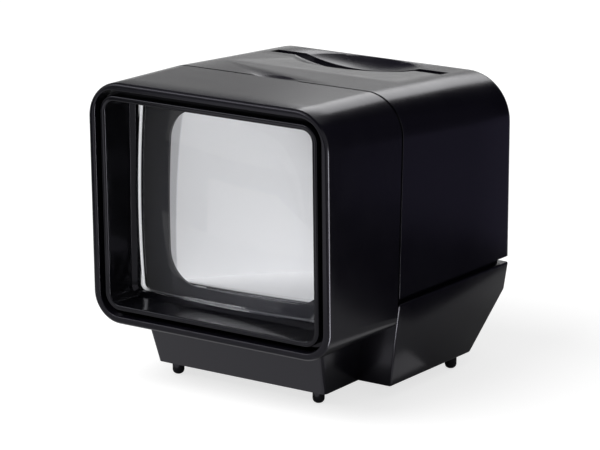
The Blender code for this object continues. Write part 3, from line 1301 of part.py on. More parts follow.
def make_carrier_springs():
    low = spring_seat_height() + GAP + SPRING_WIRE_RADIUS
    high = carrier_foot()[0] - GAP - SPRING_WIRE_RADIUS
    for side, name in ((-1, "left"), (1, "right")):
        start = (side * CARRIER_SPRING_X, SLOT_Y, up(low))
        points = coil_points(start, (0.0, 0.0, 1.0), SPRING_RADIUS, SPRING_RADIUS, high - low, SPRING_TURNS)
        tube("carrier_spring_" + name, points, SPRING_WIRE_RADIUS, SPRING_STEEL, 1)


# Switch: a block on the tray's sloping back, with a blade that the carrier's finger bends down to a fixed one

def blade_height():
    """Height of the moving blade's underside at rest, under the carrier's foot at its lowest."""
    return carrier_foot()[0] - CARRIER_TRAVEL - 2 * GAP - BLADE_THICKNESS


def fixed_blade_height():
    """Height of the fixed blade's top, just under the moving blade's tip at the end of its travel."""
    drop = BLADE_TIP_REACH * math.sin(CARRIER_TRAVEL / BLADE_PUSH_REACH)
    return blade_height() - drop - GAP


def make_switch():
    block_left = BLADE_PIVOT_X + GAP
    half = SWITCH_BLOCK_DEPTH / 2
    block = block_on_slope(block_left, block_left + SWITCH_BLOCK_LENGTH, SLOT_Y - half, SLOT_Y + half,
                           2 * GAP, blade_height() + BLADE_THICKNESS)
    piece("switch_block", block, BLACK_SATIN)
    moving = box((-BLADE_TIP_REACH, -BLADE_WIDTH / 2, 0.0), (0.0, BLADE_WIDTH / 2, BLADE_THICKNESS))
    blade = piece("moving_blade", moving, CONTACT_BRASS)
    blade.location = (BLADE_PIVOT_X, SLOT_Y, up(blade_height()))
    fixed_top = fixed_blade_height()
    fixed = box((BLADE_PIVOT_X - BLADE_TIP_REACH, SLOT_Y - BLADE_WIDTH / 2, up(fixed_top - BLADE_THICKNESS)),
                (BLADE_PIVOT_X, SLOT_Y + BLADE_WIDTH / 2, up(fixed_top)))
    piece("fixed_blade", fixed, CONTACT_BRASS)


# Leads: three thin insulated wires, over the cradle's roof, behind it and up the back wall to the lamp board

def smooth_route(keys):
    """Points about one step apart on a smooth curve through the route's own points."""
    ends = [keys[0]] + keys + [keys[-1]]
    fine = []
    for before, start, end, after in zip(ends, ends[1:], ends[2:], ends[3:]):
        count = max(2, round((Vector(end) - Vector(start)).length / LEAD_STEP))
        for step in range(count):
            t = step / count
            fine.append(Vector([0.5 * (2 * b + (c - a) * t + (2 * a - 5 * b + 4 * c - d) * t ** 2
                                       + (3 * b - a - 3 * c + d) * t ** 3)
                                for a, b, c, d in zip(before, start, end, after)]))
    fine.append(Vector(keys[-1]))
    return fine


def make_leads():
    half, front, back = cradle_size()
    front_row, rear_row = cell_rows()
    beside_tab = half - GAP - CONTACT_THICKNESS - GAP - LEAD_RADIUS
    inboard = beside_tab - 3 * LEAD_RADIUS
    over_roof = up(CRADLE_TOP + GAP + LEAD_RADIUS)
    behind_cradle = back + CRADLE_WALL + GAP + 3 * LEAD_RADIUS
    corridor = (REFLECTOR_BACK + BACK_INNER - GAP / 2) / 2
    under_board = up(WINDOW_MIDDLE) - BOARD_HALF_HEIGHT - 2 * GAP
    block_x = BLADE_PIVOT_X + GAP + SWITCH_BLOCK_LENGTH / 2
    block_front = SLOT_Y - SWITCH_BLOCK_DEPTH / 2
    block_rear = SLOT_Y + SWITCH_BLOCK_DEPTH / 2
    blade_level = up(blade_height() - LEAD_BEND / 2)
    shelf_level = up(TRAY_TOP)
    bend = LEAD_BEND

    positive = [(beside_tab, front_row, over_roof), (inboard, front_row + 2 * bend, over_roof),
                (inboard, rear_row, over_roof), (inboard, behind_cradle, over_roof),
                (inboard, SLOT_Y, over_roof), (inboard, corridor - bend, over_roof - bend / 2),
                (inboard, corridor - bend / 8, over_roof), (inboard, corridor, shelf_level),
                (inboard, corridor, under_board - 3 * bend), (inboard - bend, corridor, under_board - bend),
                (LEAD_END_X + bend, corridor, under_board - bend / 2), (LEAD_END_X, corridor, under_board)]
    tube("lead_battery_to_board", smooth_route(positive), LEAD_RADIUS, LEAD_RED, 2)

    behind_wall = back + CRADLE_WALL
    negative = [(beside_tab, rear_row, over_roof), (beside_tab, rear_row + bend, over_roof),
                (beside_tab, behind_wall, over_roof), (beside_tab, behind_cradle, over_roof - bend),
                (beside_tab - 2 * bend, behind_cradle, blade_level + bend / 2),
                (block_x + 2 * bend, behind_cradle, blade_level),
                (block_x + bend / 2, behind_cradle + bend / 4, blade_level),
                (block_x, block_front - GAP - LEAD_RADIUS, blade_level)]
    tube("lead_battery_to_switch", smooth_route(negative), LEAD_RADIUS, LEAD_BLACK, 2)

    switched_x = block_x + 2 * bend
    switched = [(block_x, block_rear + GAP + LEAD_RADIUS, blade_level),
                (block_x + bend / 2, block_rear + bend / 2, blade_level),
                (block_x + bend, block_rear + bend, blade_level + bend / 2),
                (switched_x, corridor - bend / 2, over_roof - bend),
                (switched_x, corridor - bend / 8, over_roof),
                (switched_x, corridor, shelf_level), (switched_x, corridor, under_board - 3 * bend),
                (switched_x - bend, corridor, under_board - bend),
                (LEAD_END_X - LEAD_END_SPACING, corridor, under_board)]
    tube("lead_switch_to_board", smooth_route(switched), LEAD_RADIUS, LEAD_WHITE, 2)


make_front_hood()
make_lens_tunnel()
make_lens()
make_lens_retainer()
make_rear_housing()
make_light_chamber()
make_diffuser()
make_reflector()
make_lamp_board()
make_lamps()
make_base_tray()
make_battery_cradle()
make_cell("front_cell", cell_rows()[0], 1)
make_cell("rear_cell", cell_rows()[1], -1)
make_contacts()
make_battery_springs()
make_battery_door()
make_feet()
make_screws()
make_slide_carrier()
make_carrier_springs()
make_switch()
make_leads()
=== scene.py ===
"""A battery slide viewer in black moulded plastic, dressed over its CAD frame and set on a pale table."""
import math

import bmesh
import bpy
from mathutils import Matrix, Vector


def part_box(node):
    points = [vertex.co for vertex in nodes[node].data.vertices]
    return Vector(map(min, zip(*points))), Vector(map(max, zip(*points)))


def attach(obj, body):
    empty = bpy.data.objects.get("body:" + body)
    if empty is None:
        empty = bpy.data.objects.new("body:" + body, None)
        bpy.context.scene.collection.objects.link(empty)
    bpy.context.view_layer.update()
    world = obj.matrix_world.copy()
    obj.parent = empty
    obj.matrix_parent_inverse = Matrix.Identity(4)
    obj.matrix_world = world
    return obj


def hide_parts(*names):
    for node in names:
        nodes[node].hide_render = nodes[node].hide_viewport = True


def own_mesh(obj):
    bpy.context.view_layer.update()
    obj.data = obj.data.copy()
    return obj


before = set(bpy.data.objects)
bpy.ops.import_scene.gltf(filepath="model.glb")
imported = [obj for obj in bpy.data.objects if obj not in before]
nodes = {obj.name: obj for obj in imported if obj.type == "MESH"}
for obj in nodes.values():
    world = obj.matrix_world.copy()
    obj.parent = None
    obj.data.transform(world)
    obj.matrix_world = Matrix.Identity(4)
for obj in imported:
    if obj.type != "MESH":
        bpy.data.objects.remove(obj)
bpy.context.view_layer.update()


# The table, the light and the camera. The table is a smooth white laminate that runs out of the picture, lit
# by a wide soft light from the upper left. The camera stands to the right of the viewer and looks down a little.
def hex_colour(code):
    """Linear colour of an sRGB hex code."""
    channels = [int(code[i:i + 2], 16) / 255 for i in (0, 2, 4)]
    return tuple(c / 12.92 if c <= 0.04045 else ((c + 0.055) / 1.055) ** 2.4 for c in channels) + (1.0,)


def add_node(tree, kind, inputs=None, **settings):
    """Adds a node with its settings. An input takes a value, a socket, or a node for its first output in use."""
    node = tree.nodes.new(kind)
    for name, value in settings.items():
        setattr(node, name, value)
    for name, value in (inputs or {}).items():
        if isinstance(value, bpy.types.Node):
            value = next(socket for socket in value.outputs if socket.enabled)
        if isinstance(value, bpy.types.NodeSocket):
            tree.links.new(value, node.inputs[name])
        else:
            node.inputs[name].default_value = value
    return node


def empty_material(name):
    material = bpy.data.materials.new(name)
    material.use_nodes = True
    material.node_tree.nodes.clear()
    return material, material.node_tree


def add_object(name, data):
    obj = bpy.data.objects.new(name, data)
    bpy.context.scene.collection.objects.link(obj)
    return obj


def stage_sheet(name, corners, material):
    """A flat sheet of the stage with four corners."""
    mesh = bpy.data.meshes.new(name)
    mesh.from_pydata(corners, [], [(0, 1, 2, 3)])
    mesh.materials.append(material)
    sheet = add_object(name, mesh)
    return sheet


# White laminate: for the camera most of its white is its own light, so that it is white up to the picture's edge
# and keeps the shadow
TABLE_REACH = 6.0
laminate, tree = empty_material("white_laminate")
path = add_node(tree, "ShaderNodeLightPath")
matt = add_node(tree, "ShaderNodeBsdfDiffuse", {"Color": hex_colour("B4B4B4")})
glow = add_node(tree, "ShaderNodeEmission", {"Color": hex_colour("FFFFFF"), "Strength": 0.72})
both = add_node(tree, "ShaderNodeAddShader", {0: matt, 1: glow})
pick = add_node(tree, "ShaderNodeMixShader", {0: path.outputs["Is Camera Ray"], 1: matt, 2: both})
add_node(tree, "ShaderNodeOutputMaterial", {"Surface": pick})
stage_sheet("table", [(x * TABLE_REACH, y * TABLE_REACH, 0.0) for x, y in ((-1, -1), (1, -1), (1, 1), (-1, 1))],
            laminate)

world = bpy.data.worlds.new("studio")
bpy.context.scene.world = world
world.use_nodes = True
world.node_tree.nodes.clear()
soft = add_node(world.node_tree, "ShaderNodeBackground", {"Color": hex_colour("FFFFFF"), "Strength": 0.38})
add_node(world.node_tree, "ShaderNodeOutputWorld", {"Surface": soft})

# One wide soft lamp from the upper left in front, as a sun so that the whole table is evenly lit
key = bpy.data.lights.new("soft_key", "SUN")
key.energy = 1.9
key.angle = math.radians(40)
add_object("soft_key", key).rotation_euler = (math.radians(38), 0.0, math.radians(-35))

# Cards that only the gloss sees, as a photographer sets them: dark velvet for the sides and the upper front,
# white ones on the table for the rim and the plinth, a strip light for the upright edges, and softboxes for the
# roof
VELVET = "D2C9FA"
WHITE = "FFFFFF"
ON_TABLE = 0.0005
OVER_VELVET = 0.0008


def lying(height, *plan):
    return [(x, y, height) for x, y in plan]


def standing(start, end, low, high):
    return [(*start, low), (*end, low), (*end, high), (*start, high)]


for name, strength, colour, corners in (
        ("floor_flag_right", 0.02, VELVET, lying(ON_TABLE, (0.07, 0.03), (0.70, 0.12), (0.70, 0.17),
                                                 (0.07, 0.14))),
        ("floor_flag_far", 0.15, VELVET, lying(ON_TABLE, (0.07, 0.14), (0.70, 0.17), (0.70, 0.90), (0.07, 0.90))),
        ("floor_flag_left", 0.01, VELVET, lying(ON_TABLE, (-0.90, -0.90), (0.06, -0.90), (0.06, -0.13),
                                                (-0.90, -0.13))),
        ("floor_white_left", 0.75, WHITE, lying(OVER_VELVET, (-0.09, -0.13), (0.03, -0.13), (-0.11, -0.36),
                                                (-0.27, -0.36))),
        ("floor_white_near", 0.75, WHITE, lying(OVER_VELVET, (-0.12, -0.028), (0.030, -0.028), (0.030, -0.047),
                                                (-0.12, -0.047))),
        ("floor_white_right", 0.55, WHITE, lying(OVER_VELVET, (0.042, -0.028), (0.052, -0.028), (0.052, 0.012),
                                                 (0.042, 0.012))),
        ("tall_flag_right", 0.05, VELVET, standing((0.20, 0.05), (0.50, 0.90), 0.0, 0.90)),
        ("tall_flag_back", 0.02, VELVET, standing((0.50, 0.90), (0.0, 0.95), 0.0, 0.90)),
        ("tall_flag_left", 0.05, VELVET, standing((-0.64, 1.00), (-1.60, 1.00), 0.48, 1.60)),
        ("ceiling_flag", 0.01, WHITE, lying(0.80, (-0.90, -0.90), (0.90, -0.90), (0.90, 0.30), (-0.90, 0.30))),
        ("strip_light_right", 12.0, WHITE, lying(ON_TABLE, (0.055, -0.046), (0.50, -0.15), (0.50, 0.03),
                                                 (0.055, -0.037))),
        ("softbox_behind", 2.5, WHITE, standing((-0.60, 0.90), (-0.05, 0.90), 0.37, 0.80)),
        ("softbox_low", 0.85, WHITE, standing((-1.60, 1.20), (-0.30, 1.20), 0.0, 0.18)),
        ("softbox_front", 3.5, WHITE, standing((-0.95, -0.60), (-0.35, -1.05), 0.50, 0.78))):
    cloth, tree = empty_material(name)
    shine = add_node(tree, "ShaderNodeEmission", {"Color": hex_colour(colour), "Strength": strength})
    add_node(tree, "ShaderNodeOutputMaterial", {"Surface": shine})
    card = stage_sheet(name, corners, cloth)
    for ray in ("camera", "diffuse", "shadow", "transmission"):
        setattr(card, "visible_" + ray, False)

eye = bpy.data.cameras.new("camera")
eye.lens = 189.65
eye.sensor_width = 36.0
eye.clip_start = 0.05
eye.clip_end = 20.0
eye_object = add_object("camera", eye)
eye_object.location = (0.45972, -0.67337, 0.25306)
eye_object.rotation_euler = (math.radians(90 - 14.692), 0.0, math.radians(34.276))
bpy.context.scene.camera = eye_object
bpy.context.scene.view_settings.view_transform = "Standard"


# Base tray. Black polystyrene, injection moulded, with the plinth under the hood in one piece. It carries the
# battery bay, the springs' seats and the four screw wells, and its top is a shadow gap below the housing.
FOOT_HEIGHT = 0.0036
FRONT = -0.0419
BACK = 0.0419
GAP = 0.0003
OVERRUN = 0.002
SEAM_DEPTH = 0.0314
SEAM_LEAN = 0.0018
SEAM_BOTTOM = 0.0162
SEAM_TOP = 0.0775
HALF_WIDTH_AT_SEAM = 0.0397
HALF_WIDTH_AT_BACK = 0.0414
HOOD_BOTTOM = 0.0131
HOUSING_BOTTOM = 0.0244
HOUSING_WALL = 0.0020
TRAY_TOP = 0.0226
TRAY_WALL = 0.0018
TRAY_EDGE = 0.0006
TRAY_HALF_WIDTH = 0.0371
TRAY_SPREAD = 0.0026
TRAY_FLARE = 0.0013
TRAY_BACK_INSET = 0.0003
CHAMFER_RISE = 0.0150
CHAMFER_TO_BACK = 0.0152
CHAMFER_TOP_TO_BACK = 0.0009
CHAMFER_SLOPE = (CHAMFER_TO_BACK - CHAMFER_TOP_TO_BACK) / CHAMFER_RISE
INNER_DRAW = TRAY_WALL * math.sqrt(1 + CHAMFER_SLOPE ** 2)
PLINTH_WALL = 0.0017
PLINTH_DEPTH = 0.0152
PLINTH_LEAN = 0.0036
PLINTH_HALF_WIDTH = 0.0268
PLINTH_SPREAD = 0.0015


def up(height):
    """Height above the table of a height above the tray's underside."""
    return FOOT_HEIGHT + height


def share(low, high, part):
    return low + (high - low) * part


def arc(centre, radius, start, end, steps):
    """Points along an arc, its angles in quarter turns."""
    points = []
    for step in range(steps + 1):
        angle = math.pi / 2 * share(start, end, step / steps)
        points.append((centre[0] + radius * math.cos(angle), centre[1] + radius * math.sin(angle)))
    return points


def loft(rings, closed_rings=True, cap_ends=True, closed_loft=False):
    """Skins a list of rings of points."""
    bm = bmesh.new()
    rows = [[bm.verts.new(point) for point in ring] for ring in rings]
    count = len(rows[0])
    pairs = list(zip(rows, rows[1:]))
    if closed_loft:
        pairs.append((rows[-1], rows[0]))
    for row, following in pairs:
        for i in range(count if closed_rings else count - 1):
            j = (i + 1) % count
            bm.faces.new((row[i], row[j], following[j], following[i]))
    if cap_ends and not closed_loft:
        bm.faces.new(list(reversed(rows[0])))
        bm.faces.new(rows[-1])
    if closed_rings:
        bmesh.ops.recalc_face_normals(bm, faces=bm.faces)
    return bm


def block(low, high):
    """A box between two corners, as a tool for a Boolean."""
    bm = bmesh.new()
    bmesh.ops.create_cube(bm, size=1.0)
    bmesh.ops.scale(bm, vec=[b - a for a, b in zip(low, high)], verts=bm.verts)
    bmesh.ops.translate(bm, vec=[(a + b) / 2 for a, b in zip(low, high)], verts=bm.verts)
    return bm


def round_bar(centre, radius, height, steps=32):
    """An upright cylinder from its centre upwards, as a tool for a Boolean."""
    bm = bmesh.new()
    bmesh.ops.create_cone(bm, cap_ends=True, segments=steps, radius1=radius, radius2=radius, depth=height)
    bmesh.ops.translate(bm, vec=(centre[0], centre[1], centre[2] + height / 2), verts=bm.verts)
    return bm


def make_piece(name, bm, material):
    """An object of the part from a bmesh. Its place is in its mesh."""
    mesh = bpy.data.meshes.new(name)
    bm.to_mesh(mesh)
    bm.free()
    if material is not None:
        mesh.materials.append(material)
    return add_object(name, mesh)


def join(obj, bm, operation="UNION"):
    """Adds a Boolean with a tool, which goes when the piece is settled."""
    tool = make_piece("tool", bm, None)
    modifier = obj.modifiers.new("tool", "BOOLEAN")
    modifier.operation = operation
    modifier.object = tool
    modifier.solver = "EXACT"


def cut(obj, bm):
    join(obj, bm, "DIFFERENCE")


def settle(obj, sharp_angle=35.0):
    """Makes a piece's modifiers plain mesh, removes their tools, and smooths it between sharp edges."""
    graph = bpy.context.evaluated_depsgraph_get()
    mesh = bpy.data.meshes.new_from_object(obj.evaluated_get(graph))
    tools = [modifier.object for modifier in obj.modifiers if modifier.type == "BOOLEAN"]
    obj.modifiers.clear()
    for tool in tools:
        bpy.data.objects.remove(tool, do_unlink=True)
    obj.data = mesh
    mesh.shade_smooth()
    mesh.set_sharp_from_angle(angle=math.radians(sharp_angle))
    return obj


def bevel(obj, width, segments, angle):
    modifier = obj.modifiers.new("edges", "BEVEL")
    modifier.width = width
    modifier.segments = segments
    modifier.limit_method = "ANGLE"
    modifier.angle_limit = math.radians(angle)


def seam_y(height):
    """The leaning plane where the hood meets the rear housing and the tray."""
    return FRONT + SEAM_DEPTH - SEAM_LEAN * (SEAM_TOP - height) / (SEAM_TOP - SEAM_BOTTOM)


TRAY_FRONT = seam_y(TRAY_TOP) + 2 * GAP


def tray_half_width(y, height, inset):
    flare = TRAY_FLARE * (y - TRAY_FRONT) / (BACK - TRAY_FRONT)
    return TRAY_HALF_WIDTH + TRAY_SPREAD * height / TRAY_TOP + flare - inset


def tray_back(height):
    """The sloping foot of the back, and the upright wall above it."""
    if height >= CHAMFER_RISE:
        part = (height - CHAMFER_RISE) / (TRAY_TOP - CHAMFER_RISE)
        return share(BACK - CHAMFER_TOP_TO_BACK, BACK - TRAY_BACK_INSET, part)
    return share(BACK - CHAMFER_TO_BACK, BACK - CHAMFER_TOP_TO_BACK, height / CHAMFER_RISE)


def tray_inner_back(height):
    return min(BACK - CHAMFER_TO_BACK + CHAMFER_SLOPE * height - INNER_DRAW, BACK - TRAY_BACK_INSET - TRAY_WALL)


def inner_slope_height(y):
    """Height of the inner face of the sloping back."""
    return (y - (BACK - CHAMFER_TO_BACK) + INNER_DRAW) / CHAMFER_SLOPE


def tray_ring(height, front, back, inset):
    front_half = tray_half_width(front, height, inset)
    back_half = tray_half_width(back, height, inset)
    z = up(height)
    return [(-front_half, front, z), (front_half, front, z), (back_half, back, z), (-back_half, back, z)]


def hood_floor(depth):
    """Height of the hood's flat underside at a depth behind its front."""
    return share(HOOD_BOTTOM, SEAM_BOTTOM, depth / SEAM_DEPTH)


def plinth_front(height, inset=0.0):
    return FRONT + PLINTH_DEPTH + inset - PLINTH_LEAN * height / HOOD_BOTTOM


def plinth_half_width(height, inset=0.0):
    return PLINTH_HALF_WIDTH + PLINTH_SPREAD * height / HOOD_BOTTOM - inset


def plinth_shape(floor, back, inset, roof_drop, corner):
    """The plinth, or its hollow for an inset: its front leans and its roof runs along the hood's underside."""
    rise = (SEAM_BOTTOM - HOOD_BOTTOM) / SEAM_DEPTH
    lean = PLINTH_LEAN / HOOD_BOTTOM
    front_roof = (HOOD_BOTTOM + rise * (PLINTH_DEPTH + inset) - GAP - roof_drop) / (1 + rise * lean)
    back_roof = hood_floor(back - FRONT) - GAP - roof_drop
    spread = PLINTH_SPREAD / HOOD_BOTTOM
    rings = []
    for front_height, back_height in ((floor, floor), (front_roof, back_roof)):
        front = plinth_front(front_height, inset)
        plan = arc((plinth_half_width(front_height, inset) - corner, corner), corner, -1, 0, 8)
        slope = (back_height - front_height) / (back - front)
        right = [(x + spread * slope * depth, front + depth, front_height + slope * depth) for x, depth in plan]
        right.append((plinth_half_width(back_height, inset), back, back_height))
        rings.append([(-x, y, up(z)) for x, y, z in reversed(right)] + [(x, y, up(z)) for x, y, z in right])
    return loft(rings)


def housing_part(y):
    """How far back a world Y lies in the rear housing, from 0 at the seam to 1."""
    return (y - FRONT - SEAM_DEPTH) / (BACK - FRONT - SEAM_DEPTH)


def housing_half_width(y):
    return share(HALF_WIDTH_AT_SEAM, HALF_WIDTH_AT_BACK, housing_part(y))


def tongue_block(front, back, low, high, inset):
    """The tongue's outside, or the throat inside it for an inset."""
    near, far = (housing_half_width(y) - HOUSING_WALL - 2 * GAP - inset for y in (front, back))
    return loft([[(-near, front, up(z)), (near, front, up(z)), (far, back, up(z)), (-far, back, up(z))]
                 for z in (low, high)])


def clouded(name, colours, width, detail, surface, gloss=None, relief=None):
    """A material whose colour drifts between two in soft clouds, width metres wide. Its roughness drifts with
    them between the two of gloss, and relief holds the width, the height and the strength of a finer bump."""
    material, tree = empty_material(name)
    place = add_node(tree, "ShaderNodeTexCoord").outputs["Object"]
    cloud = add_node(tree, "ShaderNodeTexNoise", {"Vector": place, "Scale": 1 / width, "Detail": detail})
    low, high = (hex_colour(code) for code in colours)
    tone = add_node(tree, "ShaderNodeMix", {"Factor": cloud, "A": low, "B": high}, data_type="RGBA")
    inputs = {"Base Color": tone, **surface}
    if gloss:
        inputs["Roughness"] = add_node(tree, "ShaderNodeMapRange", {
            "Value": cloud, "From Min": 0.3, "From Max": 0.7, "To Min": gloss[0], "To Max": gloss[1]})
    if relief:
        fine = add_node(tree, "ShaderNodeTexNoise", {"Vector": place, "Scale": 1 / relief[0], "Detail": 2.0})
        inputs["Normal"] = add_node(tree, "ShaderNodeBump", {"Height": fine, "Distance": relief[1],
                                                             "Strength": relief[2]})
    shader = add_node(tree, "ShaderNodeBsdfPrincipled", inputs)
    add_node(tree, "ShaderNodeOutputMaterial", {"Surface": shader})
    return material


def moulded_black(name, colours, roughness, spread):
    """Glossy black polystyrene straight from a polished mould: cloudy differences in its gloss about 9 mm wide,
    and an even faint waviness about 1.6 mm wide, drawn coarser than real so that it shows."""
    return clouded(name, colours, 0.009, 3.0, {"IOR": 1.5, "Specular Tint": hex_colour("F3F1FF")},
                   (roughness - spread, roughness + spread), (0.0016, 0.000004, 0.25))


polystyrene = moulded_black("moulded_black_polystyrene", ("09080E", "0E0D14"), 0.22, 0.02)

levels = (0.0, CHAMFER_RISE, TRAY_TOP)
tray = make_piece("base_tray_shell", loft([tray_ring(z, TRAY_FRONT, tray_back(z), 0.0) for z in levels]),
                  polystyrene)
bevel(tray, TRAY_EDGE, 4, 30)
join(tray, plinth_shape(0.0, TRAY_FRONT + TRAY_WALL / 2, 0.0, 0.0, 0.0012))

# The tongue that reaches up into the housing, its throat, and the notches that the lamps and the leads need
TONGUE_RISE = 0.0030
TONGUE_WALL = 0.0012
LAMP_NOTCH_WALL = 0.0006
LEAD_NOTCH_FROM = 0.0100
PANEL_HALF_WIDTH = 0.0285
tongue_top = HOUSING_BOTTOM + TONGUE_RISE
tongue_back = BACK - HOUSING_WALL - 2 * GAP
inner_front = TRAY_FRONT + TRAY_WALL
join(tray, tongue_block(inner_front + GAP, tongue_back, TRAY_TOP - TRAY_WALL / 2, tongue_top, 0.0))
corner_height = inner_slope_height(BACK - TRAY_BACK_INSET - TRAY_WALL)
cut(tray, loft([tray_ring(z, inner_front, tray_inner_back(z), TRAY_WALL)
                for z in (TRAY_WALL, corner_height, TRAY_TOP - TRAY_WALL)]))
throat_floor = TRAY_TOP - 2 * TRAY_WALL
cut(tray, tongue_block(inner_front - GAP, tongue_back - TONGUE_WALL, throat_floor, tongue_top + OVERRUN,
                       TONGUE_WALL))
notch_half = PANEL_HALF_WIDTH + 3 * GAP
for left, back in ((-notch_half, tongue_back - LAMP_NOTCH_WALL),
                   (LEAD_NOTCH_FROM, BACK - HOUSING_WALL - GAP / 2)):
    cut(tray, block((left, tongue_back - TONGUE_WALL - OVERRUN, up(throat_floor)),
                    (notch_half, back, up(tongue_top) + OVERRUN)))
cut(tray, plinth_shape(TRAY_WALL, TRAY_FRONT + TRAY_WALL + GAP, PLINTH_WALL, PLINTH_WALL, 0.0006))

# Screw wells, spring seats with their pegs, and pads for the battery cradle
HOOD_SCREW_DEPTH = 0.0262
HOOD_SCREWS = [(side * 0.0172, FRONT + HOOD_SCREW_DEPTH) for side in (-1, 1)]
HOOD_SCREW_ROOF = hood_floor(HOOD_SCREW_DEPTH) - GAP
REAR_SCREWS = [(side * 0.0336, BACK - 0.0243) for side in (-1, 1)]
REAR_SCREW_ROOF = 0.0085
WELL_ROOF = 0.0022
HEAD_HOLE = 0.0022
SHANK_HOLE = 0.0014
for places, radius, top, well_top in ((HOOD_SCREWS, 0.0036, HOOD_SCREW_ROOF, HOOD_SCREW_ROOF - PLINTH_WALL / 2),
                                      (REAR_SCREWS, 0.0029, REAR_SCREW_ROOF, REAR_SCREW_ROOF)):
    for x, y in places:
        join(tray, round_bar((x, y, up(TRAY_WALL / 2)), radius, well_top - TRAY_WALL / 2))
        cut(tray, round_bar((x, y, up(0.0) - OVERRUN), HEAD_HOLE, top - WELL_ROOF + OVERRUN))
        cut(tray, round_bar((x, y, up(top - WELL_ROOF) - OVERRUN), SHANK_HOLE, WELL_ROOF + 2 * OVERRUN))
SLOT_Y = BACK - 0.0128
LIFT_SPRING_X = 0.0200
SEAT_REACH = 0.0031
SEAT_LIFT = 0.000026
PEG_RADIUS = 0.0014
PAD_SIDES = (0.02965, 0.03225)
PAD_TOP = 0.0024
SPRING_SEAT = inner_slope_height(SLOT_Y + SEAT_REACH) - TRAY_WALL / 2 + SEAT_LIFT
for side in (-1, 1):
    x = side * LIFT_SPRING_X
    reaches = (SLOT_Y - SEAT_REACH, SLOT_Y + SEAT_REACH)
    section = [(y, up(inner_slope_height(y) - TRAY_WALL / 2)) for y in reaches]
    section += [(y, up(SPRING_SEAT)) for y in reversed(reaches)]
    join(tray, loft([[(x + shift, y, z) for y, z in section] for shift in (-SEAT_REACH, SEAT_REACH)]))
    join(tray, round_bar((x, SLOT_Y, up(SPRING_SEAT) - PEG_RADIUS), PEG_RADIUS, 2 * PEG_RADIUS))
    pad = sorted(side * reach for reach in PAD_SIDES)
    join(tray, block((pad[0], FRONT + 0.038, up(TRAY_WALL / 2)), (pad[1], FRONT + 0.046, up(PAD_TOP))))
FOOT_PLACES = [(side * x, y) for x, y in ((0.0226, FRONT + 0.0185), (0.0350, BACK - 0.0201)) for side in (-1, 1)]
for x, y in FOOT_PLACES:
    cut(tray, round_bar((x, y, up(0.0) - OVERRUN), 0.0013, TRAY_WALL + 2 * OVERRUN))

# The battery door's opening: a narrow one below and a wider one above, which leaves a ledge on each side
DOOR_FRONT = TRAY_FRONT + TRAY_WALL + GAP + 0.001
DOOR_REAR = BACK - CHAMFER_TO_BACK
DOOR_HALF_WIDTH = 0.02775
DOOR_LIP = 0.0012
LEDGE_TOP = 0.0009
RUNWAY_TOP = 0.0024
cut(tray, block((-DOOR_HALF_WIDTH - GAP, DOOR_FRONT - 2 * GAP, up(0.0) - OVERRUN),
                (DOOR_HALF_WIDTH + GAP, DOOR_REAR + OVERRUN, up(LEDGE_TOP + GAP))))
cut(tray, block((-DOOR_HALF_WIDTH - DOOR_LIP - GAP, DOOR_FRONT - GAP, up(LEDGE_TOP)),
                (DOOR_HALF_WIDTH + DOOR_LIP + GAP, DOOR_REAR + CHAMFER_SLOPE * RUNWAY_TOP + OVERRUN,
                 up(RUNWAY_TOP))))
settle(tray)
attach(tray, "viewer")
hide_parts("base_tray")


# Feet. Four glossy black nylon pegs with a rounded end, each pressed into its hole in the tray by a thinner
# spigot.
def turned(profile, steps):
    """A closed solid turned about Z from points (radius, height), the first and last of them on the axis."""
    bm = bmesh.new()
    verts = [bm.verts.new((radius, 0.0, height)) for radius, height in profile]
    edges = [bm.edges.new(pair) for pair in zip(verts, verts[1:])]
    bmesh.ops.spin(bm, geom=verts + edges, cent=(0.0, 0.0, 0.0), axis=(0.0, 0.0, 1.0),
                   angle=2 * math.pi, steps=steps, use_merge=True)
    bmesh.ops.remove_doubles(bm, verts=bm.verts, dist=0.000002)
    bmesh.ops.recalc_face_normals(bm, faces=bm.faces)
    return bm


def placed(bm, places):
    """Copies of one shape at several places, in one bmesh."""
    mesh = bpy.data.meshes.new("shape")
    bm.to_mesh(mesh)
    bm.free()
    several = bmesh.new()
    for place in places:
        start = len(several.verts)
        several.from_mesh(mesh)
        several.verts.ensure_lookup_table()
        bmesh.ops.transform(several, matrix=place, verts=several.verts[start:])
    bpy.data.meshes.remove(mesh)
    return several


nylon = moulded_black("black_nylon", ("08080A", "0C0C0F"), 0.16, 0.04)
FOOT_RADIUS = 0.0016
FOOT_ROUND = 0.0013
FOOT_EDGE = 0.0001
SPIGOT_RADIUS = 0.0010
SPIGOT_HEIGHT = 0.0015
SPIGOT_EDGE = 0.0002
shoulder = FOOT_HEIGHT - GAP
profile = [(0.0, shoulder + SPIGOT_HEIGHT), (SPIGOT_RADIUS - SPIGOT_EDGE, shoulder + SPIGOT_HEIGHT),
           (SPIGOT_RADIUS, shoulder + SPIGOT_HEIGHT - SPIGOT_EDGE), (SPIGOT_RADIUS, shoulder),
           (FOOT_RADIUS - FOOT_EDGE, shoulder), (FOOT_RADIUS, shoulder - FOOT_EDGE)]
profile += arc((FOOT_RADIUS - FOOT_ROUND, FOOT_ROUND), FOOT_ROUND, 0, -1, 8) + [(0.0, 0.0)]
feet = make_piece("rounded_feet",
                  placed(turned(profile, 32), [Matrix.Translation((x, y, 0.0)) for x, y in FOOT_PLACES]), nylon)
settle(feet)
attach(feet, "viewer")
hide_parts("foot_front_left", "foot_front_right", "foot_rear_left", "foot_rear_right")


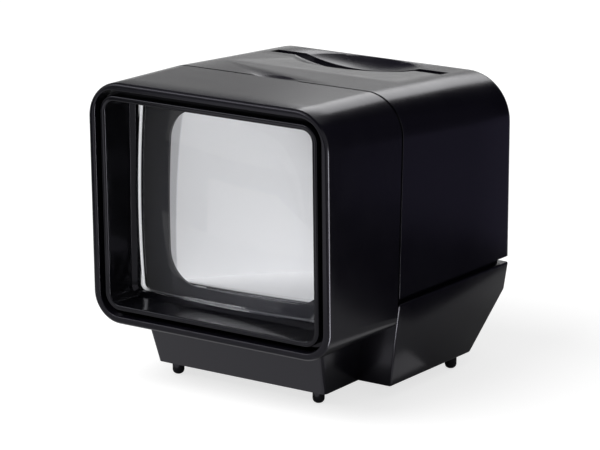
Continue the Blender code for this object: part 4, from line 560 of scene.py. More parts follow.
# Battery door. A flat moulding that slides out to the rear, held up by a ledge along each side. Five grooves
# across its rear end give the thumb a grip.
DOOR_SKIN = 0.00165
DOOR_TOP = 0.0021
GRIP_COUNT = 5
GRIP_PITCH = 0.0020
GRIP_HALF_LENGTH = 0.007
door = make_piece("sliding_battery_door", block((-DOOR_HALF_WIDTH, DOOR_FRONT, up(0.0)),
                                                (DOOR_HALF_WIDTH, DOOR_REAR, up(DOOR_SKIN))), polystyrene)
join(door, block((-DOOR_HALF_WIDTH - DOOR_LIP, DOOR_FRONT, up(LEDGE_TOP + GAP)),
                 (DOOR_HALF_WIDTH + DOOR_LIP, DOOR_REAR, up(DOOR_TOP))))
along_x = Matrix.Rotation(math.pi / 2, 4, "Y")
groove_rows = [DOOR_REAR - GRIP_PITCH * (number + GRIP_COUNT - 2) for number in range(GRIP_COUNT)]
groove_places = [Matrix.Translation((-GRIP_HALF_LENGTH, y, up(0.0))) @ along_x for y in groove_rows]
cut(door, placed(round_bar((0.0, 0.0, 0.0), 0.0005, 2 * GRIP_HALF_LENGTH, 24), groove_places))
bevel(door, 0.00012, 2, 60)
settle(door)
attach(door, "door")
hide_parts("battery_door")


# Battery cradle, carrier and switch block. Plain black polystyrene mouldings inside the case, off a mould that
# was only stoned, so they are duller than the shells. They keep the CAD's own shapes.
def dress(material, *names):
    """Gives carried-over nodes their material."""
    for name in names:
        mesh = nodes[name].data
        mesh.materials.clear()
        mesh.materials.append(material)


stoned = moulded_black("stoned_black_polystyrene", ("141418", "1B1B20"), 0.48, 0.06)
dress(stoned, "battery_cradle", "slide_carrier", "switch_block")


# The two round cells. A printed film jacket in slate grey with a lighter ring at the positive end, shrunk over a
# nickel-plated can, whose ends stay bare.
def coated_metal(name, colours, roughness, grain):
    """Metal with fine mottling in its gloss, grain metres wide."""
    return clouded(name, colours, grain, 4.0, {"Metallic": 1.0}, (roughness * 0.8, roughness * 1.25))


CELL_LENGTH = 0.0505
CELL_RADIUS = 0.00725
CELL_EDGE = 0.0006
BARE_END = 0.0060
NUB_RADIUS = 0.00275
NUB_HEIGHT = 0.001
NUB_EDGE = 0.00035
DISH = 0.00012
RING_FROM = 0.0165
nickel = coated_metal("nickel_plated_can", ("C9C6BE", "DAD7CF"), 0.25, 0.0015)
jacket, tree = empty_material("shrunk_film_jacket")
place = add_node(tree, "ShaderNodeTexCoord").outputs["Object"]
along = add_node(tree, "ShaderNodeSeparateXYZ", {"Vector": place})
# The front cell points to the right and the rear one to the left, so the ring's side depends on which row it is
BETWEEN_CELLS = (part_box("front_cell")[1].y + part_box("rear_cell")[0].y) / 2
row_side = add_node(tree, "ShaderNodeMath", {0: along.outputs["Y"], 1: BETWEEN_CELLS}, operation="LESS_THAN")
row_sign = add_node(tree, "ShaderNodeMath", {0: row_side, 1: 2.0, 2: -1.0}, operation="MULTIPLY_ADD")
to_nub = add_node(tree, "ShaderNodeMath", {0: along.outputs["X"], 1: row_sign}, operation="MULTIPLY")
ring = add_node(tree, "ShaderNodeMath", {0: to_nub, 1: RING_FROM}, operation="GREATER_THAN")
shrink = add_node(tree, "ShaderNodeTexNoise", {"Vector": place, "Scale": 1 / 0.004, "Detail": 3.0})
film = add_node(tree, "ShaderNodeMix", {"Factor": ring, "A": hex_colour("333E4A"), "B": hex_colour("A7AEB4")},
                data_type="RGBA")
pucker = add_node(tree, "ShaderNodeBump", {"Height": shrink, "Strength": 0.3, "Distance": 0.00003})
shader = add_node(tree, "ShaderNodeBsdfPrincipled", {"Base Color": film, "Roughness": 0.28, "Normal": pucker,
                                                     "IOR": 1.5})
add_node(tree, "ShaderNodeOutputMaterial", {"Surface": shader})

body_end = CELL_LENGTH - NUB_HEIGHT
profile = [(0.0, CELL_LENGTH), (NUB_RADIUS - NUB_EDGE, CELL_LENGTH), (NUB_RADIUS, CELL_LENGTH - NUB_EDGE),
           (NUB_RADIUS, body_end), (0.0055, body_end - DISH), (0.0061, body_end)]
profile += arc((CELL_RADIUS - CELL_EDGE, body_end - CELL_EDGE), CELL_EDGE, 1, 0, 6)[1:]
profile += arc((CELL_RADIUS - CELL_EDGE, CELL_EDGE), CELL_EDGE, 0, -1, 6)
profile += [(0.0061, 0.0), (0.0058, DISH), (0.0, DISH)]
for name, node, direction in (("front_round_cell", "front_cell", 1), ("rear_round_cell", "rear_cell", -1)):
    low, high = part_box(node)
    flat_end = low.x if direction == 1 else high.x
    middle = (low + high) / 2
    turn = Matrix.Translation((flat_end, middle.y, middle.z)) @ Matrix.Rotation(direction * math.pi / 2, 4, "Y")
    cell = make_piece(name, placed(turned(profile, 48), [turn]), jacket)
    cell.data.materials.append(nickel)
    settle(cell)
    for polygon in cell.data.polygons:
        reach = math.hypot(polygon.center.y - middle.y, polygon.center.z - middle.z)
        polygon.material_index = 1 if reach < BARE_END else 0
    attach(cell, "viewer")
    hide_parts(node)


# Contacts and switch blades. Strips of rolled brass, bent and pushed into the cradle and the switch block. They
# keep the CAD's shapes. Rolling leaves a fine streaky grain.
brass = coated_metal("rolled_brass", ("B08F4C", "C8A862"), 0.32, 0.0008)
dress(brass, "series_contact", "positive_contact", "negative_contact", "fixed_blade", "moving_blade")


# Springs. Round spring steel wire wound cold: two cylindrical ones lift the carrier, and a tapered one stands
# behind each cell. Each is grown along its own spiral by one Geometry Nodes tree.
def grown_tree(name, numbers, **others):
    """A Geometry Nodes tree with named inputs. Gives the tree, the sockets that a modifier sets, and the inputs
    as they come out inside."""
    tree = bpy.data.node_groups.new(name, "GeometryNodeTree")
    tree.interface.new_socket(name="Geometry", in_out="OUTPUT", socket_type="NodeSocketGeometry")
    kinds = {**dict.fromkeys(numbers, "Float"), **others}
    sockets = {label: tree.interface.new_socket(name=label, in_out="INPUT", socket_type="NodeSocket" + kind)
               for label, kind in kinds.items()}
    for label, value in numbers.items():
        sockets[label].default_value = value
    return tree, sockets, add_node(tree, "NodeGroupInput").outputs


spring_tree, spring_inputs, given = grown_tree(
    "wound_spring", {"Foot Radius": 0.004, "Top Radius": 0.0026, "Height": 0.004, "Turns": 3.5,
                     "Wire Radius": 0.0003}, Wire="Material")
coil = add_node(spring_tree, "GeometryNodeCurveSpiral", {"Resolution": 28, "Rotations": given["Turns"],
                                                         "Start Radius": given["Foot Radius"],
                                                         "End Radius": given["Top Radius"],
                                                         "Height": given["Height"]})
wire_round = add_node(spring_tree, "GeometryNodeCurvePrimitiveCircle", {"Resolution": 10,
                                                                        "Radius": given["Wire Radius"]})
wire = add_node(spring_tree, "GeometryNodeCurveToMesh", {"Curve": coil, "Profile Curve": wire_round,
                                                         "Fill Caps": True})
real = add_node(spring_tree, "GeometryNodeRealizeInstances", {"Geometry": wire})
smooth = add_node(spring_tree, "GeometryNodeSetShadeSmooth", {"Geometry": real})
painted = add_node(spring_tree, "GeometryNodeSetMaterial", {"Geometry": smooth, "Material": given["Wire"]})
add_node(spring_tree, "NodeGroupOutput", {"Geometry": painted})

spring_steel = coated_metal("drawn_spring_steel", ("A6A8AC", "BFC1C5"), 0.24, 0.0006)


def grow(name, tree, sockets, values, place):
    """One object grown by a tree with the given inputs, made plain mesh and set in its place."""
    obj = add_object(name, bpy.data.meshes.new(name))
    modifier = obj.modifiers.new("grown", "NODES")
    modifier.node_group = tree
    for label, value in values.items():
        modifier[sockets[label].identifier] = value
    graph = bpy.context.evaluated_depsgraph_get()
    mesh = bpy.data.meshes.new_from_object(obj.evaluated_get(graph))
    obj.modifiers.clear()
    mesh.transform(place)
    obj.data = mesh
    bm = bmesh.new()
    bm.from_mesh(mesh)
    bmesh.ops.recalc_face_normals(bm, faces=bm.faces)
    bm.to_mesh(mesh)
    bm.free()
    return obj


LIFT_WIRE = 0.00025
LIFT_COIL = 0.0023
for side, node in ((-1, "carrier_spring_left"), (1, "carrier_spring_right")):
    low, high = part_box(node)
    foot = Matrix.Translation((side * LIFT_SPRING_X, SLOT_Y, low.z + LIFT_WIRE))
    spring = grow(node.replace("spring", "lift_spring"), spring_tree, spring_inputs,
                  {"Foot Radius": LIFT_COIL, "Top Radius": LIFT_COIL, "Height": high.z - low.z - 2 * LIFT_WIRE,
                   "Turns": 5.5, "Wire Radius": LIFT_WIRE, "Wire": spring_steel}, foot)
    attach(spring, "viewer")
    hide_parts(node)
    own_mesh(spring)

CELL_SPRING_INSET = 0.00035
for node in ("battery_spring_front", "battery_spring_rear"):
    low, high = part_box(node)
    middle = (low + high) / 2
    direction = 1 if middle.x < 0 else -1
    start = low.x if direction == 1 else high.x
    foot = Matrix.Translation((start + direction * CELL_SPRING_INSET, middle.y, middle.z))
    spring = grow(node.replace("spring", "cone_spring"), spring_tree, spring_inputs,
                  {"Foot Radius": 0.0037, "Top Radius": 0.0024, "Height": high.x - low.x - 2 * CELL_SPRING_INSET,
                   "Turns": 3.5, "Wire Radius": 0.0003, "Wire": spring_steel},
                  foot @ Matrix.Rotation(direction * math.pi / 2, 4, "Y"))
    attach(spring, "viewer")
    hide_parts(node)


# Light chamber and lamp reflector. White ABS, moulded thin, matt inside so that it spreads the light evenly. The
# chamber is the white box between lens and slide. Both keep the CAD's shape.
def white_with_painted_glow(name, colours, roughness, glow):
    """Matt white moulding with faint clouds about 12 mm wide, and painted glow: its own light, strongest at the
    left, half as strong from the middle on, and cut down to a painted shade at the thick front collar."""
    material = clouded(name, colours, 0.012, 2.0, {"IOR": 1.52, "Roughness": roughness,
                                                   "Emission Color": hex_colour("FFFFFF")},
                       relief=(0.0006, 0.00002, 0.2))
    tree = material.node_tree
    place = add_node(tree, "ShaderNodeTexCoord").outputs["Object"]
    across = add_node(tree, "ShaderNodeSeparateXYZ", {"Vector": place})
    # Painted glow as emission strength: strongest at the left end, weaker towards the middle, dimmed at the front
    # collar as painted shade
    passed = add_node(tree, "ShaderNodeMapRange", {"Value": across.outputs["X"], "From Min": -0.034,
                                                   "From Max": -0.010, "To Min": glow, "To Max": glow * 0.5})
    collar = add_node(tree, "ShaderNodeMapRange", {"Value": across.outputs["Y"], "From Min": 0.0006,
                                                   "From Max": 0.0014, "To Min": 0.35, "To Max": 1.0})
    painted_glow_amount = add_node(tree, "ShaderNodeMath", {0: passed, 1: collar}, operation="MULTIPLY")
    tree.links.new(painted_glow_amount.outputs[0], tree.nodes["Principled BSDF"].inputs["Emission Strength"])
    return material


# The chamber and the lamp reflector glow with this painted light of their own
dress(white_with_painted_glow("white_abs_painted_glow", ("E4E4E6", "ECECED"), 0.5, 0.37), "light_chamber", "lamp_reflector")


# Opal diffuser. A cut sheet of opal acrylic between the slide and the lamps. It scatters what comes from behind,
# and it is given painted glow, a faint light of its own, strongest at the left.
dress(white_with_painted_glow("opal_acrylic_painted_glow", ("F0F0F2", "F6F6F6"), 0.3, 0.42), "opal_diffuser")


# Lamp board and its two lamps. Green glass-fibre laminate with its weave showing through the resist, and two
# flat-topped lamps in clear yellowish epoxy.
laminate_board, tree = empty_material("glass_fibre_laminate")
place = add_node(tree, "ShaderNodeTexCoord").outputs["Object"]
warp, weft = (add_node(tree, "ShaderNodeTexWave", {"Vector": place, "Scale": 1 / 0.0008}, bands_direction=axis)
              for axis in ("X", "Z"))
weave = add_node(tree, "ShaderNodeMath", {0: warp.outputs["Fac"], 1: weft.outputs["Fac"]}, operation="MULTIPLY")
resist = add_node(tree, "ShaderNodeMix", {"Factor": weave, "A": hex_colour("174A2B"), "B": hex_colour("22633A")},
                  data_type="RGBA")
shader = add_node(tree, "ShaderNodeBsdfPrincipled", {"Base Color": resist, "Roughness": 0.35, "IOR": 1.5})
add_node(tree, "ShaderNodeOutputMaterial", {"Surface": shader})
dress(laminate_board, "lamp_board")

# Clear cast epoxy is tinted by the phosphor in it, in clouds about 1.5 mm wide, under a hard gloss
epoxy = clouded("cast_lamp_epoxy", ("F1EBC4", "F7F4E2"), 0.0015, 2.0,
                {"Roughness": 0.12, "IOR": 1.53, "Coat Weight": 0.4})
for node in ("lamp_left", "lamp_right"):
    low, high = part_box(node)
    middle = (low + high) / 2
    length = high.y - low.y
    radius = (high.x - low.x) / 2
    profile = [(radius * math.sin(angle), length - 0.0009 * (1 - math.cos(angle)))
               for angle in (math.pi / 2 * step / 8 for step in range(9))]
    profile[0] = (0.0, length)
    profile += [(radius, 0.0004), (radius - 0.0001, 0.0), (0.0, 0.0)]
    turn = Matrix.Translation((middle.x, high.y, middle.z)) @ Matrix.Rotation(math.pi / 2, 4, "X")
    lamp = make_piece(node.replace("lamp", "white_lamp"), placed(turned(profile, 32), [turn]), epoxy)
    settle(lamp)
    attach(lamp, "viewer")
    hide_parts(node)


# Leads. Three thin stranded wires in coloured vinyl, soldered at both ends. They keep the CAD's routes. Extruded
# vinyl has a soft gloss, and slight clouds of plasticiser about 2 mm wide.
for name, colours, node in (("red_vinyl", ("9C1A1A", "B02424"), "lead_battery_to_board"),
                            ("black_vinyl", ("121212", "1A1A1A"), "lead_battery_to_switch"),
                            ("white_vinyl", ("D2D2D0", "DEDEDC"), "lead_switch_to_board")):
    dress(clouded(name, colours, 0.002, 2.0, {"Roughness": 0.38, "IOR": 1.53}), node)


# Lens tunnel. Black polystyrene from a finely polished mould, glossier than the shells. Its lip shows inside the
# hood's rim across a narrow groove, and its ledge holds the lens.
CORNER_STEPS = 14
HOOD_TOP = 0.0784
HOOD_HALF_WIDTH = 0.0375
LOW_CORNERS = (0.0082, 0.0035)
TOP_CORNERS = (0.0082, 0.010)


def rounded_outline(half_width, bottom, top, bottom_radius, top_radius):
    """A rectangle with rounded corners as (x, z), counter-clockwise from its lower right corner."""
    points = arc((half_width - bottom_radius, bottom + bottom_radius), bottom_radius, -1, 0, CORNER_STEPS)
    points += arc((half_width - top_radius, top - top_radius), top_radius, 0, 1, CORNER_STEPS)
    points += arc((-half_width + top_radius, top - top_radius), top_radius, 1, 2, CORNER_STEPS)
    points += arc((-half_width + bottom_radius, bottom + bottom_radius), bottom_radius, 2, 3, CORNER_STEPS)
    return points


def hood_section(part, inset=0.0, top_corners=TOP_CORNERS):
    """The hood's outline, part of the way from its front to the seam, drawn in by an inset."""
    low, high = (max(share(*corners, part) - inset, GAP) for corners in (LOW_CORNERS, top_corners))
    return rounded_outline(share(HOOD_HALF_WIDTH, HALF_WIDTH_AT_SEAM, part) - inset,
                           share(HOOD_BOTTOM, SEAM_BOTTOM, part) + inset, share(HOOD_TOP, SEAM_TOP, part) - inset,
                           low, high)


def front_y(height):
    """The leaning front plane."""
    return FRONT + 0.0014 * (HOOD_TOP - height) / (HOOD_TOP - HOOD_BOTTOM)


def frame_ring(inset, depth, leaning=False, part=0.0):
    """A ring of the tunnel, parallel to the leaning front or square to the axis."""
    return [(x, (front_y(z) if leaning else FRONT) + depth, up(z)) for x, z in hood_section(part, inset)]


def lip_ring(inset, towards, step):
    """A ring on the rounded edge of the lip, whose steps go from its front to its side."""
    angle = math.pi / 2 * step / LIP_STEPS
    return frame_ring(inset + towards * LIP_ROUND * (1 - math.sin(angle)),
                      LIP_BACKSET + LIP_ROUND * (1 - math.cos(angle)), True)


polished = moulded_black("polished_black_polystyrene", ("07070A", "0A0A0E"), 0.14, 0.02)
LIP_ROUND = 0.00045
LIP_STEPS = 4
LIP_BACKSET = 0.0004
LIP_OUTSIDE = 0.0036
LIP_INSIDE = 0.0051
CLIP_RIDGE = 0.0027
RIDGE_FRONT = 0.0046
RIDGE_BACK = 0.0060
SHOULDER = 0.0122
LEDGE_BACK = 0.0135
POCKET_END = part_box("lens_tunnel")[1].y - FRONT
rings = [lip_ring(LIP_OUTSIDE, 1, step) for step in range(LIP_STEPS + 1)]
# The clip ridge round the outside, the pocket behind the ledge, and the throat that leads back to the lip
rings += [frame_ring(LIP_OUTSIDE, RIDGE_FRONT),
          frame_ring(CLIP_RIDGE, RIDGE_FRONT, part=RIDGE_FRONT / SEAM_DEPTH),
          frame_ring(CLIP_RIDGE, RIDGE_BACK, part=RIDGE_BACK / SEAM_DEPTH), frame_ring(LIP_OUTSIDE, RIDGE_BACK)]
rings += [frame_ring(inset, depth) for inset, depth in (
    (0.0048, SHOULDER), (0.0048, POCKET_END), (0.0058, POCKET_END), (0.0058, LEDGE_BACK), (0.0065, LEDGE_BACK),
    (0.0065, SHOULDER), (0.0064, 0.0120), (0.0052, 0.0114), (LIP_INSIDE, 0.0112))]
rings += [lip_ring(LIP_INSIDE, -1, step) for step in range(LIP_STEPS, 0, -1)]
tunnel = make_piece("lens_tunnel_frame", loft(rings, closed_loft=True), polished)
settle(tunnel, 40.0)
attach(tunnel, "viewer")
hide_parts("lens_tunnel")


# Magnifier lens. Clear cast acrylic, cut rectangular with a dome polished on each face and a thin flange all
# round, by which it sits in the tunnel. Lamps' rays pass straight through it, as a small loss from a clear lens.
LENS_CURVE = 0.140
OPTIC_INSET = 0.0068
FLANGE_INSET = 0.0061
LENS_MIDDLE = (HOOD_TOP + HOOD_BOTTOM) / 2
FLANGE_FRONT = 0.0138
FLANGE_BACK = 0.0170
SIDE_STEPS = 20
DOME_STEPS = 28


def lens_outline(inset):
    """The lens's outline round its own axis, its straight sides in short steps."""
    corners = [(x, z - LENS_MIDDLE) for x, z in hood_section(0.0, inset)]
    points = []
    for here, there in zip(corners, corners[1:] + corners[:1]):
        steps = SIDE_STEPS if math.dist(here, there) > 0.01 else 1
        points += [(share(here[0], there[0], step / steps), share(here[1], there[1], step / steps))
                   for step in range(steps)]
    return points


def dome_rise(base, radius):
    """How far a dome stands above its flange at a distance from the axis."""
    return max(math.sqrt(LENS_CURVE ** 2 - radius ** 2) - math.sqrt(LENS_CURVE ** 2 - base ** 2), 0.0)


def dome_rings(outline, base, plane, towards):
    """Rings of a dome from near its middle out to the outline, with one ring on the dome's own edge."""
    rings = []
    for step in list(range(1, DOME_STEPS + 1)) + [None]:
        ring = []
        for x, z in outline:
            reach = math.hypot(x, z)
            part = 1.0 if step is None else step / DOME_STEPS * min(1.0, base / reach)
            ring.append((x * part, plane + towards * dome_rise(base, reach * part), up(LENS_MIDDLE + z * part)))
        rings.append(ring)
    return rings


optic = lens_outline(OPTIC_INSET)
flange = lens_outline(FLANGE_INSET)
front_plane = FRONT + FLANGE_FRONT
back_plane = FRONT + FLANGE_BACK
LENS_REACH = max(math.hypot(x, z) for x, z in optic)
rings = dome_rings(optic, LENS_REACH, front_plane, -1)
rings += [[(x, y, up(LENS_MIDDLE + z)) for x, z in outline] for outline, y in (
    (optic, front_plane), (flange, front_plane), (flange, back_plane), (optic, back_plane))]
rings += list(reversed(dome_rings(optic, LENS_REACH, back_plane, 1)))
bm = loft(rings, cap_ends=False)
bm.verts.ensure_lookup_table()
for ring_start, apex_y in ((0, front_plane - dome_rise(LENS_REACH, 0.0)),
                           (len(bm.verts) - len(optic), back_plane + dome_rise(LENS_REACH, 0.0))):
    apex = bm.verts.new((0.0, apex_y, up(LENS_MIDDLE)))
    bm.verts.ensure_lookup_table()
    count = len(optic)
    for i in range(count):
        bm.faces.new((apex, bm.verts[ring_start + i], bm.verts[ring_start + (i + 1) % count]))
bmesh.ops.remove_doubles(bm, verts=bm.verts, dist=0.000004)
bmesh.ops.dissolve_degenerate(bm, dist=0.000002, edges=bm.edges)
bmesh.ops.recalc_face_normals(bm, faces=bm.faces)

acrylic, tree = empty_material("cast_clear_acrylic")
place = add_node(tree, "ShaderNodeTexCoord").outputs["Object"]
haze = add_node(tree, "ShaderNodeTexNoise", {"Vector": place, "Scale": 1 / 0.006, "Detail": 3.0})
gloss = add_node(tree, "ShaderNodeMapRange", {"Value": haze, "From Min": 0.45, "From Max": 0.8, "To Min": 0.0,
                                              "To Max": 0.03})
clear = add_node(tree, "ShaderNodeBsdfPrincipled", {"Base Color": hex_colour("F8F9FB"), "Roughness": gloss,
                                                    "Transmission Weight": 1.0, "IOR": 1.49})
path = add_node(tree, "ShaderNodeLightPath")
passed = add_node(tree, "ShaderNodeBsdfTransparent", {"Color": hex_colour("F2F4F6")})
pick = add_node(tree, "ShaderNodeMixShader", {0: path.outputs["Is Shadow Ray"], 1: clear, 2: passed})
add_node(tree, "ShaderNodeOutputMaterial", {"Surface": pick})

# The lens's edge face, satin from its mould, with painted light: a light colour and painted glow at its left end,
# and a dark colour as painted shade elsewhere
PAINTED_GLOW_TO = -0.0313
PAINTED_SHADE_FROM = -0.0290
edge_face, tree = empty_material("acrylic_edge_painted_light")
place = add_node(tree, "ShaderNodeTexCoord").outputs["Object"]
across = add_node(tree, "ShaderNodeSeparateXYZ", {"Vector": place})
drag = add_node(tree, "ShaderNodeTexNoise", {"Vector": place, "Scale": 1 / 0.003, "Detail": 2.0})
rough = add_node(tree, "ShaderNodeMapRange", {"Value": drag, "To Min": 0.3, "To Max": 0.5})
painted_light_mask = add_node(tree, "ShaderNodeMapRange", {"Value": across.outputs["X"], "From Min": PAINTED_GLOW_TO,
                                               "From Max": PAINTED_SHADE_FROM})
# Painted glow at the left end, and from there on a dark base colour as painted shade
painted_edge_glow = add_node(tree, "ShaderNodeMapRange", {"Value": painted_light_mask, "To Min": 0.40, "To Max": 0.03})
tone = add_node(tree, "ShaderNodeMix", {"Factor": painted_light_mask, "A": hex_colour("F2F4F6"), "B": hex_colour("4A4B50")},
                data_type="RGBA")
shader = add_node(tree, "ShaderNodeBsdfPrincipled", {"Base Color": tone, "IOR": 1.49, "Roughness": rough,
                                                     "Emission Color": hex_colour("FFFFFF"),
                                                     "Emission Strength": painted_edge_glow})
add_node(tree, "ShaderNodeOutputMaterial", {"Surface": shader})
lens = make_piece("domed_magnifier_lens", bm, acrylic)
lens.data.materials.append(edge_face)
settle(lens, 12.0)
for polygon in lens.data.polygons:
    on_wall = abs(polygon.normal.y) < 0.3 and front_plane < polygon.center.y < back_plane
    if on_wall or all(abs(lens.data.vertices[i].co.y - back_plane) < 0.000002 for i in polygon.vertices):
        polygon.material_index = 1
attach(lens, "viewer")
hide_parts("magnifier_lens")


# Lens retainer. A flat dull black frame snapped in behind the lens. It presses on the back dome, and its squarish
# opening with rounded corners masks the lens down to the slide's shape.
MASK_HALF_WIDTH = 0.0230
MASK_HALF_HEIGHT = 0.0228
MASK_CORNER = 0.0085
MASK_EDGE = 0.0001
RETAINER_THICKNESS = 0.0015
near = FLANGE_BACK + dome_rise(LENS_REACH, MASK_HALF_HEIGHT) + GAP
far = near + RETAINER_THICKNESS


def mask_ring(grow, depth):
    """The retainer's opening, widened by an amount, at a depth behind the hood's front."""
    outline = rounded_outline(MASK_HALF_WIDTH + grow, LENS_MIDDLE - MASK_HALF_HEIGHT - grow,
                              LENS_MIDDLE + MASK_HALF_HEIGHT + grow, MASK_CORNER, MASK_CORNER)
    return [(x, FRONT + depth, up(z)) for x, z in outline]


rings = [frame_ring(FLANGE_INSET + MASK_EDGE, near), frame_ring(FLANGE_INSET, near + MASK_EDGE),
         frame_ring(FLANGE_INSET, far - MASK_EDGE), frame_ring(FLANGE_INSET + MASK_EDGE, far),
         mask_ring(MASK_EDGE, far), mask_ring(0.0, far - MASK_EDGE), mask_ring(0.0, near + MASK_EDGE),
         mask_ring(MASK_EDGE, near)]
retainer = make_piece("lens_retainer_frame", loft(rings, closed_loft=True), stoned)
settle(retainer)
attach(retainer, "viewer")
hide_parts("lens_retainer")


# Front hood. The surround that the eye looks into: one polystyrene moulding with a rounded rectangular section,
# wider and flatter towards the seam, with a rounded rim. Two bosses under its floor take screws from the plinth.
HOOD_WALL = 0.0021
RIM_ROUND = 0.0009
INNER_ROUND = 0.0004
SEAM_EDGE = 0.00015
SEAM_CORNER = 0.0112
OUTER_CORNERS = (0.0100, SEAM_CORNER)


def hood_ring(part, inset, shift=0.0, top_corners=OUTER_CORNERS):
    """A ring of the hood's skin between its leaning front plane and the leaning seam plane."""
    return [(x, share(front_y(z), seam_y(z), part) + shift, up(z))
            for x, z in hood_section(part, inset, top_corners)]


rings = [hood_ring(1.0, SEAM_EDGE), hood_ring(0.995, 0.0)]
rings += [hood_ring(part, 0.0) for part in (0.75, 0.5, 0.25)]
rings += [hood_ring(0.0, RIM_ROUND * (1 - math.cos(angle)), RIM_ROUND * (1 - math.sin(angle)))
          for angle in (math.pi / 2 * step / 6 for step in range(7))]
rings += [hood_ring(0.0, HOOD_WALL - INNER_ROUND * (1 - math.sin(angle)), INNER_ROUND * (1 - math.cos(angle)),
                    TOP_CORNERS) for angle in (math.pi / 2 * step / 5 for step in range(6))]
rings += [hood_ring(part, HOOD_WALL, 0.0, TOP_CORNERS) for part in (0.5, 1.0)]
hood = make_piece("front_hood_shell", loft(rings, closed_loft=True), polystyrene)
BOSS_HEIGHT = 0.0058
BOSS_RADIUS = 0.0026
boss_floor = hood_floor(HOOD_SCREW_DEPTH)
for x, y in HOOD_SCREWS:
    join(hood, round_bar((x, y, up(boss_floor + HOOD_WALL / 2)), BOSS_RADIUS, BOSS_HEIGHT))
    cut(hood, round_bar((x, y, up(boss_floor) - OVERRUN), SHANK_HOLE, BOSS_HEIGHT + OVERRUN))


def arch_outline(half_width, bottom, top, radius):
    """An arch without a floor, from its lower right end round to its lower left one."""
    points = [(half_width, bottom)]
    points += arc((half_width - radius, top - radius), radius, 0, 1, CORNER_STEPS)
    points += arc((-half_width + radius, top - radius), radius, 1, 2, CORNER_STEPS)
    points.append((-half_width, bottom))
    return points


def loft_shell(outer, inner):
    """A closed shell between two open skins with as many rings, joined along all their edges."""
    bm = bmesh.new()
    skins = [[[bm.verts.new(point) for point in ring] for ring in skin] for skin in (outer, inner)]
    for skin in skins:
        for row, following in zip(skin, skin[1:]):
            for i in range(len(row) - 1):
                bm.faces.new((row[i], row[i + 1], following[i + 1], following[i]))
    for ring in (0, -1):
        a, b = skins[0][ring], skins[1][ring]
        for i in range(len(a) - 1):
            bm.faces.new((a[i], a[i + 1], b[i + 1], b[i]))
    for end in (0, -1):
        for outer_row, outer_next, inner_row, inner_next in zip(skins[0], skins[0][1:], skins[1], skins[1][1:]):
            bm.faces.new((outer_row[end], outer_next[end], inner_next[end], inner_row[end]))
    bmesh.ops.recalc_face_normals(bm, faces=bm.faces)
    return bm


# The thin arch that reaches past the seam into the housing's roof and sides
ARCH_LOW = HOUSING_BOTTOM + TONGUE_RISE + 2 * GAP
ARCH_WALL = 0.0009
ARCH_ROOT = 0.0030
ARCH_REACH = 0.0022
arch_skins = []
for extra in (0.0, ARCH_WALL):
    skin = []
    for depth, inset in ((SEAM_DEPTH - ARCH_ROOT, HOOD_WALL - 0.00045), (SEAM_DEPTH, HOUSING_WALL + 2 * GAP),
                         (SEAM_DEPTH + ARCH_REACH, HOUSING_WALL + 2 * GAP)):
        part = depth / SEAM_DEPTH
        drawn = inset + extra
        outline = arch_outline(share(HOOD_HALF_WIDTH, HALF_WIDTH_AT_SEAM, part) - drawn, ARCH_LOW,
                               share(HOOD_TOP, SEAM_TOP, part) - drawn, share(*TOP_CORNERS, part) - drawn)
        skin.append([(x, seam_y(z) + depth - SEAM_DEPTH, up(z)) for x, z in outline])
    arch_skins.append(skin)
join(hood, loft_shell(*arch_skins))
settle(hood)
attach(hood, "viewer")
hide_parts("front_hood")


# Rear housing. The upper shell behind the seam, of the same polystyrene. Its roof falls to the rear and has the
# slot for the slide, a hollow for the fingers that push it, and a shallow notch at the seam to prise it open.
ROOF_AT_BACK = 0.0743
BACK_CORNER = 0.0130
BACK_EDGE = 0.0022
SEAM_GAP = 0.0006
SEAM_CHAMFER = 0.00005
SLOT_HALF_LENGTH = 0.0276
SLOT_HALF_WIDTH = 0.00215
SLOT_DEPTH = 0.0082
SCOOP_DEPTH = 0.0026
SCOOP_HALF_LENGTH = 0.019
SCOOP_HALF_WIDTH = 0.012
SCOOP_FLOOR = 0.0016
NOTCH_DEPTH = 0.0006
NOTCH_HALF_LENGTH = 0.0075
NOTCH_HALF_WIDTH = 0.0048


def roof_height(y):
    return share(SEAM_TOP, ROOF_AT_BACK, housing_part(y))


def housing_section(y, inset=0.0):
    return arch_outline(housing_half_width(y) - inset, HOUSING_BOTTOM, roof_height(y) - inset,
                        share(SEAM_CORNER, BACK_CORNER, housing_part(y)) - inset)


def sunk_ellipsoid(y, half_length, half_width, depth, curve_depth, steps):
    """An ellipsoid that leaves a hollow of a given plan and depth in the roof."""
    rise = curve_depth - depth
    spread = math.sqrt(1 - (rise / curve_depth) ** 2)
    bm = bmesh.new()
    bmesh.ops.create_uvsphere(bm, u_segments=2 * steps, v_segments=steps, radius=1.0)
    bmesh.ops.scale(bm, vec=(half_length / spread, half_width / spread, curve_depth), verts=bm.verts)
    bmesh.ops.translate(bm, vec=(0.0, y, up(roof_height(y) + rise)), verts=bm.verts)
    return bm


EDGE_STEPS = 6
edge_start = BACK - BACK_EDGE
rings = [[(x, seam_y(z) + SEAM_GAP, up(z)) for x, z in housing_section(FRONT + SEAM_DEPTH, SEAM_CHAMFER)],
         [(x, seam_y(z) + SEAM_GAP + SEAM_CHAMFER, up(z)) for x, z in housing_section(FRONT + SEAM_DEPTH)]]
for part in (0.33, 0.67):
    rings.append([(x, share(seam_y(z), edge_start, part), up(z))
                  for x, z in housing_section(share(FRONT + SEAM_DEPTH, edge_start, part))])
for step in range(EDGE_STEPS + 1):
    angle = math.pi / 2 * step / EDGE_STEPS
    y = edge_start + BACK_EDGE * math.sin(angle)
    rings.append([(x, y, up(z)) for x, z in housing_section(edge_start, BACK_EDGE * (1 - math.cos(angle)))])
bm = loft(rings, closed_rings=False, cap_ends=False)
bm.verts.ensure_lookup_table()
bmesh.ops.contextual_create(bm, geom=bm.verts[-len(rings[-1]):])
